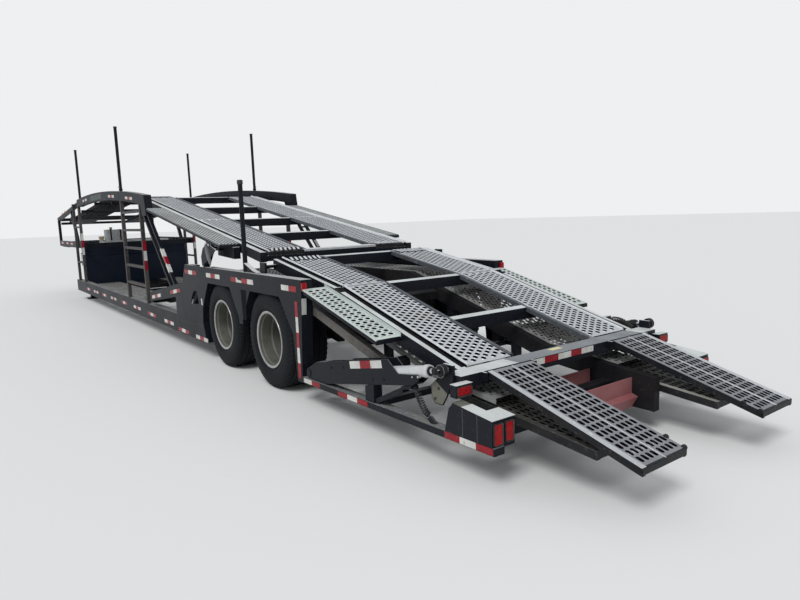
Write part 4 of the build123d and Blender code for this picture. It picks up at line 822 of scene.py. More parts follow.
def slotted_sheet(length, columns, rows, slot, stretch, ends):
    """Sheet from the origin along X and across Y, with straight rows of slots that are longer along X."""
    pitch = (length - sum(ends)) / rows
    pieces = []
    y = 0
    for width, across in columns:
        if across:
            cell = hole_cell(pitch - stretch, width / across, slot, slot + SLOT_RIM, SLOT_RISE, SLOT_SIDES)
            for v in cell.data.vertices:
                v.co.x += stretch / 2 if v.co.x > 0 else -stretch / 2
            cell.location = (ends[0] + pitch / 2, y + width / across / 2, 0)
            pieces.append(repeated(repeated(cell, rows, (pitch, 0, 0)), across, (0, width / across, 0)))
            pieces.append(flat(0, ends[0], y, y + width))
            pieces.append(flat(length - ends[1], length, y, y + width))
        else:
            pieces.append(flat(0, length, y, y + width))
        y += width
    return one_sheet(pieces)


CHANNEL_TOP, CHANNEL_FLANGE, CHANNEL_WEB = -0.001, 0.005, 0.006


def side_channel(y, way, width, depth):
    """A channel's section that opens inwards from its web at y."""
    web_y, edge_y = y + way * CHANNEL_WEB, y + way * width
    return [
        (y, CHANNEL_TOP), (y, -depth), (edge_y, -depth), (edge_y, -depth + CHANNEL_FLANGE),
        (web_y, -depth + CHANNEL_FLANGE), (web_y, CHANNEL_TOP),
    ]


ramp_sheet = slotted_sheet(dist(*RAMP_TOP), RAMP_COLUMNS, RAMP_ROWS, RAMP_SLOT, RAMP_SLOT_STRETCH, (0.028, 0.026))
parts = [laid(walled(ramp_sheet, ramp_metal), *RAMP_TOP, RAMP_INNER_Y)]
ramp_outer_y = RAMP_INNER_Y + RAMP_WIDTH
seam_y = RAMP_INNER_Y + sum(width for width, across in RAMP_COLUMNS[:2])
bright_strip = [
    (ramp_outer_y - 0.042, 0.001), (ramp_outer_y - 0.040, 0.003), (ramp_outer_y - 0.001, 0.003),
    (ramp_outer_y, 0.001), (ramp_outer_y, -0.004), (ramp_outer_y - 0.042, -0.004),
]
seam = [(seam_y + 0.005, 0), (seam_y + 0.008, 0.004), (seam_y + 0.010, 0.004), (seam_y + 0.013, 0)]
for section, finish in (
    (bright_strip, galvanised),
    (seam, galvanised),
    (side_channel(RAMP_INNER_Y, 1, RAMP_FLANGE, RAMP_DEPTH), dark_steel),
    (side_channel(ramp_outer_y, -1, RAMP_FLANGE, RAMP_DEPTH), dark_steel),
):
    parts.append(coated(carried(RAMP_TOP, section), finish))
ramp_fall = (RAMP_TOP[1][1] - RAMP_TOP[0][1]) / (RAMP_TOP[1][0] - RAMP_TOP[0][0])
toe_x, toe_z = RAMP_TOP[1]
(barrel_x, barrel_z), barrel_r, barrel_bore = RAMP_BARREL
dark_parts = []
for k in range(RAMP_RIBS):
    x = RAMP_TOP[0][0] - 0.16 - RAMP_RIB_STEP * k
    z = RAMP_TOP[0][1] + ramp_fall * (x - RAMP_TOP[0][0])
    dark_parts.append(plate([(x, z - 0.002), (x - 0.006, z - 0.004), (x - 0.006, z - 0.040), (x - 0.026, z - 0.045),
                             (x - 0.026, z - 0.050), (x, z - 0.044)], RAMP_INNER_Y + 0.006, ramp_outer_y - 0.006))
dark_parts.append(plate([(toe_x + x, toe_z + z) for x, z in TOE_LIP], RAMP_INNER_Y, ramp_outer_y, 0.001))
for back in (0.015, 0.13):
    dark_parts.append(capped([(0, 0.014), (0.004, 0.018), (0.020, 0.018), (0.026, 0.012)],
                             toe_x + back, RAMP_INNER_Y - 0.012, toe_z - 0.004 + ramp_fall * back, 16))
dark_parts.append(turned([
    (0, barrel_bore), (0, barrel_r - 0.002), (0.002, barrel_r), (RAMP_WIDTH - 0.002, barrel_r),
    (RAMP_WIDTH, barrel_r - 0.002), (RAMP_WIDTH, barrel_bore),
], barrel_x, RAMP_INNER_Y, barrel_z))
parts += [coated(piece, dark_steel) for piece in dark_parts]
paired(joined(parts), "slotted_ramp", "ramp", "ramp")

# Outer platforms
# A grating plate outboard of each rail at the rear: three rows of large holes in green-grey galvanised sheet,
# its outer edge folded down and its inner edge folded up against the rail, over a dark sheet of painted shade.
platform_metal = weathered(
    "platform_metal", (0.56, 0.62, 0.59), 0.48, 0.2, patch=(0.40, 0.42, 0.40), speck=(0.66, 0.70, 0.68),
    amounts=(0.5, 0.3), scales=(4, 40), bump=0.15,
)
PLATFORM_TOP = ((-5.430, 1.0832), (-6.587, 0.780))
PLATFORM_INNER_Y, PLATFORM_OUTER_Y = 1.0515, 1.290
PLATFORM_ROWS, PLATFORM_COLUMNS = 17, 3
PLATFORM_PITCH_Y = 0.069
PLATFORM_HOLE = 0.041
PLATFORM_END = 0.038
PLATFORM_SKIRT = 0.010
platform_length = dist(*PLATFORM_TOP)
hole_pitch = (platform_length - 2 * PLATFORM_END) / PLATFORM_ROWS
field_width = PLATFORM_PITCH_Y * PLATFORM_COLUMNS
field_y = PLATFORM_OUTER_Y - 0.014 - field_width
field_end_y = field_y + field_width
cell = hole_cell(hole_pitch, PLATFORM_PITCH_Y, PLATFORM_HOLE, PLATFORM_HOLE, 0, 14)
cell.location = (PLATFORM_END + hole_pitch / 2, PLATFORM_PITCH_Y / 2, 0)
field = repeated(repeated(cell, PLATFORM_ROWS, (hole_pitch, 0, 0)), PLATFORM_COLUMNS, (0, PLATFORM_PITCH_Y, 0))
grating = walled(joined([
    field, flat(0, PLATFORM_END, 0, field_width),
    flat(platform_length - PLATFORM_END, platform_length, 0, field_width),
]), platform_metal)
for v in grating.data.vertices:
    v.co.z += PLATFORM_SKIRT
parts = [laid(grating, *PLATFORM_TOP, field_y)]
for section, finish in (
    ([(PLATFORM_INNER_Y, 0.036), (PLATFORM_INNER_Y + 0.004, 0.036), (PLATFORM_INNER_Y + 0.006, PLATFORM_SKIRT),
      (field_y, PLATFORM_SKIRT), (field_y, PLATFORM_SKIRT - 0.003), (PLATFORM_INNER_Y, PLATFORM_SKIRT - 0.003)],
     platform_metal),
    ([(field_end_y, PLATFORM_SKIRT), (PLATFORM_OUTER_Y - 0.003, PLATFORM_SKIRT),
      (PLATFORM_OUTER_Y, PLATFORM_SKIRT - 0.003), (PLATFORM_OUTER_Y, -0.004), (PLATFORM_OUTER_Y - 0.003, -0.004),
      (PLATFORM_OUTER_Y - 0.003, PLATFORM_SKIRT - 0.004), (field_end_y, PLATFORM_SKIRT - 0.004)], platform_metal),
    # A thin dark sheet under the grating: painted shade seen through its holes
    (oblong(1.056, 1.286, 0.0014, 0.0002), painted_shade_dark),
):
    parts.append(coated(carried(PLATFORM_TOP, section), finish))
paired(joined(parts), "platform_grating", "rear_deck")

# Head deck
# The fixed tracks over the gooseneck and under the arch: the same plank, with pressed ribs across its
# underside whose ends stand out beyond its inner edge. A dark sheet just under the plank is painted shade
# seen through its holes.
HEAD_DECK_TOP = ((8.500, 1.880), (3.900, 2.255), (0.760, 2.180))
HEAD_PLANK_Y, HEAD_PLANK_WIDTH = 0.502, 0.430
HEAD_PLANK_LIFT = 0.009
HEAD_SHADE_LIFT = 0.002
HEAD_HOLES = (6, 0.072, 0.038, 0.038, 0, 8, 0.01)
HEAD_RIB_Y = (0.430, 0.968)
HEAD_RIB_STEP = 0.20
HEAD_RIB_DEPTH = 0.045
HEAD_RIB_WIDTH = 0.10
HEAD_RIB_START, HEAD_RIB_END = 0.12, 0.10
parts = []
for start, end in zip(HEAD_DECK_TOP, HEAD_DECK_TOP[1:]):
    length = dist(start, end)
    for lift, sheet, finish in (
        (HEAD_PLANK_LIFT, perforated_sheet(length, HEAD_PLANK_WIDTH, *HEAD_HOLES), galvanised_dull),
        # A dark sheet under the plank: painted shade seen through its holes
        (HEAD_SHADE_LIFT, flat(0, length, 0, HEAD_PLANK_WIDTH), dark_steel),
    ):
        laid(joined([sheet]), start, end, HEAD_PLANK_Y)
        for v in sheet.data.vertices:
            v.co.z += lift
        parts.append(coated(sheet, finish))
    slope = (end[1] - start[1]) / (end[0] - start[0])
    fall = HEAD_RIB_WIDTH * slope
    for k in range(int((length - HEAD_RIB_START - HEAD_RIB_END) / HEAD_RIB_STEP) + 1):
        x = start[0] - HEAD_RIB_START - HEAD_RIB_STEP * k
        z = start[1] + slope * (x - start[0]) - 0.046
        rib = [(x, z), (x - HEAD_RIB_WIDTH, z - fall), (x - 0.080, z - fall - HEAD_RIB_DEPTH),
               (x - 0.020, z - HEAD_RIB_DEPTH)]
        parts.append(coated(plate(rib, *HEAD_RIB_Y), frame_dark))
paired(joined(parts), "head_deck_planks", "trailer")

# Reflective tape
# Red and white conspicuity tape in 150 mm blocks, stuck on the outer faces in strips of three or so. It is
# scuffed, and one block has lost its upper half.
def tape_finish(name, colour, dirt):
    """Prismatic tape: weathered colour under a clear face, with the fine mesh of its cells in the bump."""
    finish = weathered(
        name, colour, 0.34, patch=dirt, speck=(0.10, 0.08, 0.08), amounts=(0.65, 0.35), scales=(5, 26), bump=0,
        gloss=0.2, coat=0.15,
    )
    wired(
        finish.node_tree,
        {"place": "ShaderNodeTexCoord", "turn": "ShaderNodeMapping", "cells": "ShaderNodeTexBrick",
         "cell relief": "ShaderNodeBump"},
        {"turn/Rotation": (radians(90), 0, 0), "cells/Scale": 60, "cells/Mortar Size": 0.03,
         "cell relief/Strength": 0.2, "cell relief/Distance": 0.0005},
        (("place/Object", "turn/Vector"), ("turn/Vector", "cells/Vector"), ("cells/Fac", "cell relief/Height"),
         ("cell relief/Normal", "Principled BSDF/Normal")),
    )
    return finish


tape_red = tape_finish("tape_red", (0.30, 0.004, 0.012), (0.12, 0.010, 0.016))
tape_white = tape_finish("tape_white", (0.62, 0.62, 0.59), (0.36, 0.34, 0.31))
TAPE_THICKNESS = 0.0012
TAPE_LIFT = 0.0002
# "t" is a white block with its upper half torn off
TAPE_COLOURS = {"r": tape_red, "w": tape_white, "t": tape_white}
SIDE_Y, NECK_Y, BRACE_Y = 1.295, 1.240, 1.285
# Strips on the faces that look outwards: name, start and end as (x, z), height, colours from the front
SIDE_TAPES = (
    ("sill_a", (5.03, 0.326), (4.58, 0.326), 0.050, "rwr"),
    ("sill_b", (4.22, 0.326), (3.77, 0.326), 0.050, "wrw"),
    ("sill_c", (3.36, 0.328), (2.91, 0.328), 0.050, "rwr"),
    ("sill_d", (2.57, 0.330), (2.12, 0.330), 0.050, "wrw"),
    ("sill_e", (1.73, 0.328), (1.28, 0.328), 0.050, "rwr"),
    ("sill_f", (0.81, 0.326), (0.36, 0.324), 0.050, "wrw"),
    ("sill_g", (-0.09, 0.308), (-0.54, 0.303), 0.050, "rwr"),
    ("sill_h", (-0.99, 0.292), (-1.44, 0.290), 0.050, "wrw"),
    ("sill_i", (-1.66, 0.252), (-2.11, 0.252), 0.050, "rwr"),
    ("sill_j", (-2.39, 0.244), (-2.84, 0.244), 0.050, "wrw"),
    ("beam_a", (-0.42, 0.592), (-0.90, 0.664), 0.050, "wrw"),
    ("beam_b", (-1.40, 0.742), (-1.86, 0.812), 0.050, "rwr"),
    ("body_a", (-2.13, 1.083), (-2.58, 1.083), 0.052, "rwr"),
    ("body_b", (-2.95, 1.083), (-3.40, 1.083), 0.052, "wrw"),
    ("body_c", (-3.74, 1.083), (-4.36, 1.083), 0.052, "rtrw"),
    ("body_d", (-5.015, 1.083), (-5.325, 1.083), 0.052, "wr"),
    ("strip", (-5.305, 0.970), (-5.305, 0.245), 0.050, "rwrwr"),
    ("rear_sill_a", (-5.380, 0.2435), (-5.680, 0.2465), 0.042, "wr"),
    ("rear_sill_b", (-5.990, 0.2495), (-6.440, 0.2540), 0.042, "rwr"),
    ("rear_sill_c", (-7.367, 0.2630), (-7.820, 0.2675), 0.045, "rwr"),
    ("arch_a", (4.46, 2.258), (4.01, 2.276), 0.045, "wrw"),
    ("arch_b", (1.97, 2.252), (1.52, 2.230), 0.045, "wrw"),
    ("arch_c", (0.72, 2.172), (0.27, 2.138), 0.045, "wrw"),
    ("neck_a", (8.36, 1.308), (7.92, 1.308), 0.045, "rwr"),
    ("neck_b", (7.60, 1.308), (7.15, 1.308), 0.045, "rwr"),
    ("neck_c", (6.95, 1.304), (6.50, 1.304), 0.045, "rwr"),
    ("neck_d", (6.18, 1.300), (5.88, 1.300), 0.045, "rw"),
    ("brace", (-1.048, 1.358), (-1.398, 1.035), 0.052, "wrw"),
    ("arm", (-6.186, 0.527), (-6.641, 0.6135), 0.060, "wrw"),
)
# The body and the face of the strips that aren't on the trailer's side faces
OTHER_FACES = {"neck": ("trailer", NECK_Y), "brace": ("trailer", BRACE_Y), "arm": ("lift_arm", BRACE_Y)}
# Strips on the faces that look backwards: name, x at the top and at the bottom, y range, top and bottom z,
# colours from the top
REAR_TAPES = (
    ("front_ladder", (5.1222, 5.1222), (1.243, 1.291), 1.565, 1.080, "wrw"),
    ("rear_ladder", (-0.1278, -0.1278), (1.243, 1.291), 1.455, 0.993, "rwr"),
    ("brace_rear", (-1.0775, -1.4274), (1.241, 1.284), 1.358, 1.035, "wrw"),
    ("strip_back", (-5.4160, -5.4036), (1.244, 1.293), 1.005, 0.855, "w"),
)


def tape_blocks(start, end, height, colours, y):
    """A strip of tape on a plane of one Y from start to end, both (x, z), one block for each colour."""
    run = (end[0] - start[0], end[1] - start[1])
    length = (run[0] ** 2 + run[1] ** 2) ** 0.5
    side = (-run[1] / length * height / 2, run[0] / length * height / 2)
    if side[1] < 0:
        side = (-side[0], -side[1])
    blocks = []
    for k, colour in enumerate(colours):
        a, b = [[start[i] + run[i] * (n / len(colours)) for i in (0, 1)] for n in (k, k + 1)]
        outline = [(a[0] - side[0], a[1] - side[1]), (b[0] - side[0], b[1] - side[1])]
        if colour == "t":
            outline += [(b[0] + side[0] * 0.1, b[1] - side[1] * 0.1), (a[0] * 0.7 + b[0] * 0.3, a[1] + side[1] * 0.2),
                        (a[0] * 0.8 + b[0] * 0.2, a[1] + side[1]), (a[0] + side[0], a[1] + side[1])]
        else:
            outline += [(b[0] + side[0], b[1] + side[1]), (a[0] + side[0], a[1] + side[1])]
        blocks.append(coated(plate(outline, y + TAPE_LIFT, y + TAPE_THICKNESS), TAPE_COLOURS[colour]))
    return blocks


for tape_name, start, end, height, colours in SIDE_TAPES:
    tape_body, tape_y = OTHER_FACES.get(tape_name.split("_")[0], ("trailer", SIDE_Y))
    paired(joined(tape_blocks(start, end, height, colours, tape_y)), f"tape_{tape_name}", tape_body)
for tape_name, (x_top, x_low), (y0, y1), top, bottom, colours in REAR_TAPES:
    blocks = []
    for k, colour in enumerate(colours):
        high = top + (bottom - top) * k / len(colours)
        low = top + (bottom - top) * (k + 1) / len(colours)
        x0, x1 = [x_top + (x_low - x_top) * (z - top) / (bottom - top) for z in (low, high)]
        outline = [(x0, low), (x1, high), (x1 - TAPE_THICKNESS, high), (x0 - TAPE_THICKNESS, low)]
        blocks.append(coated(plate(outline, y0, y1), TAPE_COLOURS[colour]))
    paired(joined(blocks), f"tape_{tape_name}", "trailer")

# Wheel dishes
# Deep pressed dishes of the wide-base wheels in worn silver paint: a bright lip, the barrel's bead hump and
# steps, ten nuts on the disc and the hub's bolted cap with its sight ring. Inside the lip the barrel is
# darkened and the disc darker still: painted shade deep in the dish.
DISH = (
    (1.2625, 0.2975), (1.2665, 0.2945), (1.2670, 0.2830), (1.2600, 0.2705), (1.2360, 0.2680), (1.2260, 0.2580),
    (1.1250, 0.2530), (1.1120, 0.2410), (1.0120, 0.2370), (0.9920, 0.2290), (0.9665, 0.2260), (0.9665, 0.2615),
    (1.2625, 0.2735),
)
DISC_FACE_Y, DISC_SHADE_Y, LIP_SHADE_Y = 0.966, 1.0, 1.2595
HUB_FACE_Y = 1.100
NUT = ((-0.002, 0.023), (0.004, 0.023), (0.004, 0.018), (0.022, 0.017), (0.026, 0.011), (0.040, 0.010))
HUB_CAP = ((-0.002, 0.067), (0.004, 0.066), (0.007, 0.052), (0.010, 0.050), (0.010, 0.034), (0.014, 0.032))
HUB_BOLT = ((0, 0.006), (0.006, 0.0055))
# What stands on each dish: section, face, radius of its circle, number, first angle, sides, finish
DISH_FITTINGS = (
    (NUT, DISC_FACE_Y, 0.1675, 10, 9, 6, frame_rusty),
    (HUB_CAP, HUB_FACE_Y, 0, 1, 0, 36, dark_steel),
    (HUB_BOLT, HUB_FACE_Y, 0.058, 6, 0, 6, frame_rusty),
)
for axle, axle_x in TYRE_CENTRES:
    dish_body = coated(turned(DISH, axle_x, 0, TYRE_R, 72), rim_silver)
    dish_body.data.materials.append(dish_barrel_shade)
    dish_body.data.materials.append(underside)
    # Painted shade: the barrel inside the lip darker, the disc darkest
    for face in dish_body.data.polygons:
        face.material_index = 2 if face.center.y < DISC_SHADE_Y else int(face.center.y < LIP_SHADE_Y)
    parts = [dish_body]
    for profile, face_y, circle_r, count, first, sides, finish in DISH_FITTINGS:
        for k in range(count):
            turn = radians(360 / count * k + first)
            fitting = capped(profile, axle_x + circle_r * cos(turn), face_y, TYRE_R + circle_r * sin(turn), sides)
            parts.append(coated(fitting, finish))
    paired(joined(parts), f"dish_{axle}", f"wheel_{axle}")

# Light covers
# Flat caps of pale galvanised sheet that lie on the tail boxes and the lamp boxes, and the bright flange on
# the low pole's foot.
cover_light = weathered(
    "cover_light", (0.62, 0.65, 0.64), 0.5, 0.1, patch=(0.45, 0.44, 0.41), speck=(0.30, 0.27, 0.24),
    amounts=(0.5, 0.3), scales=(6, 34), bump=0.12,
)
cover_dull = weathered(
    "cover_dull", (0.15, 0.16, 0.13), 0.6, 0.1, patch=(0.08, 0.075, 0.06), speck=(0.30, 0.30, 0.28),
    amounts=(0.6, 0.3), scales=(7, 34), bump=0.15,
)


def cover(outline, line, thickness, lift=0.0):
    """A plate cut to an outline of (x, y) points, lying on the line between two (x, z) points."""
    (xa, za), (xb, zb) = line
    points = [(x, y, za + (zb - za) * (x - xa) / (xb - xa) + lift) for x, y in outline]
    return thick(points, 0, 0, thickness)


rail_grey = weathered(
    "rail_grey", (0.085, 0.092, 0.105), 0.5, 0.1, patch=(0.05, 0.05, 0.05), speck=(0.30, 0.31, 0.32),
    amounts=(0.5, 0.4), scales=(5, 24), bump=0.1, gloss=0.3,
)
TAIL_BOX_TOP = ((-7.450, 0.500), (-7.814, 0.462))
LAMP_BOX_TOP = ((-7.400, 0.605), (-7.460, 0.605))
TAIL_CAP = ((-7.540, 1.2955), (-7.540, 1.203), (-7.674, 1.203), (-7.674, 1.094), (-7.8155, 1.094), (-7.8155, 1.2955))
TAIL_CAP_FRONT = ((-7.452, 1.294), (-7.452, 1.206), (-7.538, 1.206), (-7.538, 1.294))
LAMP_CAP = ((-7.398, 1.1195), (-7.398, 1.2655), (-7.4615, 1.2655), (-7.4615, 1.1195))
TAIL_SEAMS = ((-7.545, 0.484), (-7.680, 0.472))
SEAM_FOOT, SEAM_WIDTH, SEAM_Y = 0.286, 0.004, (1.2948, 1.2957)
gusset = plate([(-7.452, 0.498), (-7.452, 0.284), (-7.362, 0.270), (-7.410, 0.450)], 1.207, 1.293, 0.002)
paired(joined([
    *[coated(plate([(x, SEAM_FOOT), (x, z), (x - SEAM_WIDTH, z), (x - SEAM_WIDTH, SEAM_FOOT)], *SEAM_Y), rail_grey)
      for x, z in TAIL_SEAMS],
    coated(cover(TAIL_CAP, TAIL_BOX_TOP, 0.003), cover_light),
    coated(cover(TAIL_CAP_FRONT, TAIL_BOX_TOP, 0.002), cover_dull),
    coated(gusset, frame_dark),
]), "tail_cover", "trailer")
paired(coated(cover(LAMP_CAP, LAMP_BOX_TOP, 0.0025), cover_light), "lamp_box_cover", "rear_deck")
foot_line = [(-4.072, 1.2685), (-4.285, 1.1975), (-4.385, 1.1800)]
foot_flange = coated(carried(foot_line, [(1.214, 0), (1.214, 0.004), (1.262, 0.004), (1.262, 0)]), cover_light)
finish_piece(foot_flange, "pole_foot_flange", "trailer")

# Tail lamps
# Sealed red lamps in black rubber grommets, two tall ones behind each tail box and a wider one on the lamp
# box beside the rear bar, with their lenses moulded into small cells. A small one stands at each body's end.
lens_red = weathered(
    "lens_red", (0.36, 0.001, 0.005), 0.22, patch=(0.11, 0.001, 0.003), speck=(0.62, 0.02, 0.03),
    amounts=(0.7, 0.3), scales=(30, 120), bump=0.05, gloss=0.25, coat=0.1,
)
GROMMET, GROMMET_WALL, LENS_RECESS = 0.010, 0.006, 0.004
GROMMET_CORNER = 0.2
LENS_DROP = 0.003
CELL_INSET = 0.0025


def rear_lamp(x, y_range, z_range, rows, columns, depth):
    """A lamp on a face that looks backwards at x: its grommet and its lens, ribbed into rows and columns."""
    width, height = y_range[1] - y_range[0], z_range[1] - z_range[0]
    grommet = settled(flat(-width / 2, width / 2, -height / 2, height / 2))
    edit_all()
    bpy.ops.mesh.bevel(offset=min(width, height) * GROMMET_CORNER, segments=4, affect="VERTICES")
    bpy.ops.mesh.select_all(action="SELECT")
    extruded(0, 0, depth)
    bpy.ops.mesh.inset(thickness=GROMMET_WALL)
    bpy.ops.transform.translate(value=(0, 0, -LENS_RECESS))
    bpy.ops.object.mode_set(mode="OBJECT")
    coated(grommet, cord_rubber)
    bpy.ops.object.select_all(action="DESELECT")
    bpy.ops.mesh.primitive_grid_add(x_subdivisions=columns, y_subdivisions=rows, size=1)
    lens = bpy.context.object
    lens.scale = (width - 2 * GROMMET, height - 2 * GROMMET, 1)
    lens.location.z = depth - LENS_DROP
    settled(lens)
    edit_all()
    bpy.ops.mesh.inset(thickness=CELL_INSET, use_individual=True)
    bpy.ops.transform.translate(value=(0, 0, CELL_INSET))
    bpy.ops.object.mode_set(mode="OBJECT")
    lamp_piece = joined([grommet, coated(lens, lens_red)])
    middle_y, middle_z = sum(y_range) / 2, sum(z_range) / 2
    for v in lamp_piece.data.vertices:
        across, high, out = v.co
        v.co = (x - out, middle_y - across, middle_z + high)
    return lamp_piece


# Each lamp: name, body, face x, y and z ranges, rows and columns of its cells, depth
REAR_LAMPS = (
    ("tail_lamp_outer", "trailer", -7.8135, (1.204, 1.288), (0.296, 0.444), 9, 3, 0.010),
    ("tail_lamp_inner", "trailer", -7.8135, (1.108, 1.186), (0.304, 0.444), 9, 3, 0.010),
    ("lamp_box_lamp", "rear_deck", -7.4595, (1.126, 1.260), (0.524, 0.599), 3, 8, 0.008),
    ("end_marker", "trailer", -5.4195, (1.246, 1.294), (1.074, 1.152), 3, 2, 0.022),
)
for lamp_name, lamp_body, *lamp_form in REAR_LAMPS:
    lamp_piece = rear_lamp(*lamp_form)
    if lamp_name == "end_marker":
        coated(lamp_piece, lens_red)
    paired(lamp_piece, lamp_name, lamp_body)

# Rear bar's tape
# A pale strip with two red blocks behind the bar, between the ramps and a little to the left, and a small
# yellowed reflector on the bar's top.
reflector_yellow = weathered(
    "reflector_yellow", (0.72, 0.66, 0.36), 0.35, patch=(0.55, 0.48, 0.25), speck=(0.3, 0.26, 0.18),
    amounts=(0.5, 0.3), scales=(20, 60), bump=0.05,
)
bar_grey = weathered(
    "bar_grey", (0.22, 0.235, 0.25), 0.5, 0.1, patch=(0.14, 0.14, 0.14), speck=(0.42, 0.43, 0.44),
    amounts=(0.6, 0.3), scales=(3, 30), bump=0.12,
)
BAR_REAR_X = -7.400
BAR_STRIP = ((0.454, 0.322, "w"), (0.322, 0.165, "r"), (0.165, 0.012, "w"), (0.012, -0.116, "r"),
             (-0.116, -0.268, "w"))
BAR_STRIP_Z = (0.588, 0.634)
BAR_LINE = ((-7.240, 0.640), (-7.400, 0.640))
BAR_GREY = ((-7.242, -0.950), (-7.242, 0.600), (-7.398, 0.600), (-7.398, -0.950))
BAR_REFLECTOR = ((-7.270, 0.010), (-7.270, 0.135), (-7.320, 0.135), (-7.320, 0.010))
strip = [(BAR_REAR_X, BAR_STRIP_Z[0]), (BAR_REAR_X, BAR_STRIP_Z[1]), (BAR_REAR_X - 0.002, BAR_STRIP_Z[1]),
         (BAR_REAR_X - 0.002, BAR_STRIP_Z[0])]
finish_piece(joined([
    *[coated(plate(strip, y0, y1), TAPE_COLOURS[colour]) for y1, y0, colour in BAR_STRIP],
    coated(cover(BAR_GREY, BAR_LINE, 0.0008, 0.0003), bar_grey),
    coated(cover(BAR_REFLECTOR, BAR_LINE, 0.003, 0.0012), reflector_yellow),
]), "rear_bar_tape", "rear_deck")

# Lower extensions
# Two slide-out planks under the lower deck's tail, drawn out: worn slotted sheet between dark side channels,
# a light inner flange and a dark end block with a roller at each corner.
extension_metal = weathered(
    "extension_metal", (0.080, 0.079, 0.074), 0.5, 0.3, patch=(0.065, 0.058, 0.048), speck=(0.34, 0.33, 0.31),
    amounts=(0.7, 0.4), scales=(5, 30), bump=0.25,
)
lip_grey = weathered(
    "lip_grey", (0.34, 0.34, 0.31), 0.55, 0.1, patch=(0.17, 0.16, 0.13), speck=(0.45, 0.45, 0.42),
    amounts=(0.6, 0.3), scales=(5, 30), bump=0.15,
)
EXTENSION_TOP = ((-7.000, 0.4414), (-8.300, 0.3207))
EXTENSION_INNER_Y, EXTENSION_OUTER_Y = 0.480, 0.930
EXTENSION_DEPTH = 0.055
EXTENSION_FLANGE = 0.035
EXTENSION_ROWS, EXTENSION_SLOT, EXTENSION_SLOT_STRETCH = 17, 0.024, 0.022
EXTENSION_ENDS = (0.04, 0.06)
EXTENSION_COLUMNS = ((0.030, 0), (0.180, 4), (0.030, 0), (0.180, 4), (0.030, 0))
sheet = slotted_sheet(
    dist(*EXTENSION_TOP), EXTENSION_COLUMNS, EXTENSION_ROWS, EXTENSION_SLOT, EXTENSION_SLOT_STRETCH, EXTENSION_ENDS
)
parts = [laid(walled(sheet, extension_metal), *EXTENSION_TOP, EXTENSION_INNER_Y)]
for y, way, lip_width, lip_finish in (
    (EXTENSION_INNER_Y, 1, 0.042, lip_grey), (EXTENSION_OUTER_Y, -1, 0.022, extension_metal)
):
    channel = carried(EXTENSION_TOP, side_channel(y, way, EXTENSION_FLANGE, EXTENSION_DEPTH))
    parts.append(coated(channel, dark_steel))
    lip_end = y + way * lip_width
    lip = carried(EXTENSION_TOP, [(y, -0.001), (y, 0.002), (lip_end, 0.002), (lip_end, -0.001)])
    parts.append(coated(lip, lip_finish))
end_x, end_z = EXTENSION_TOP[1]
end_block = [(end_x + 0.045, end_z + 0.003), (end_x + 0.001, end_z - 0.001), (end_x + 0.001, end_z - 0.053),
             (end_x + 0.045, end_z - 0.051)]
parts.append(coated(plate(end_block, EXTENSION_INNER_Y + 0.001, EXTENSION_OUTER_Y - 0.001, 0.002), dark_steel))
for y in (EXTENSION_INNER_Y + 0.010, EXTENSION_OUTER_Y - 0.040):
    roller = turned([(0, 0.006), (0, 0.022), (0.003, 0.025), (0.027, 0.025), (0.030, 0.022), (0.030, 0.006)],
                    end_x + 0.075, y, end_z - 0.024, 20)
    parts.append(coated(roller, frame_rusty))
paired(joined(parts), "slotted_extension", "lower_extension", "lower_extension")

# Lift cylinders
# The rear deck's cylinders lie in their arms: a silver-painted tube, a gland nut and wiper where the rod
# comes out, two ports with their fittings, and the arm's pin head and bolts. The right one's tube and gland
# are dark steel instead: painted shade on the trailer's shaded side.
cylinder_silver = weathered(
    "cylinder_silver", (0.60, 0.61, 0.62), 0.34, 0.25, patch=(0.42, 0.41, 0.39), speck=(0.25, 0.22, 0.20),
    amounts=(0.4, 0.2), scales=(7, 40), bump=0.06,
)
ARM_PIVOT = (-5.470, 0.325)
ARM_RUN = (-0.98229, 0.18729)
ARM_MIDDLE_Y = 1.2375
ARM_FACE_Y = 1.2850
CYLINDER_TUBE = ((1.300, 0.0385), (1.300, 0.0415), (1.684, 0.0415), (1.684, 0.0385))
CYLINDER_GLAND = ((1.676, 0.026), (1.676, 0.0455), (1.679, 0.0465), (1.714, 0.0465), (1.718, 0.0440),
                  (1.7280, 0.0430), (1.7280, 0.026))
CYLINDER_WIPER = ((1.7270, 0.0235), (1.7270, 0.034), (1.734, 0.031), (1.734, 0.0235))


def laid_round(profile, start, run, y, steps=32):
    """A turned piece with its axis along an (x, z) direction from a point: (distance along it, radius) points."""
    piece = joined([turned(profile, 0, 0, 0, steps)])
    for v in piece.data.vertices:
        side, along, high = v.co
        v.co = (start[0] + run[0] * along + run[1] * high, y + side, start[1] + run[1] * along - run[0] * high)
    return piece


def arm_point(along, high):
    """The (x, z) point at a distance along the arm from its pivot and at a height over its middle."""
    x = ARM_PIVOT[0] + ARM_RUN[0] * along + ARM_RUN[1] * high
    return x, ARM_PIVOT[1] + ARM_RUN[1] * along - ARM_RUN[0] * high


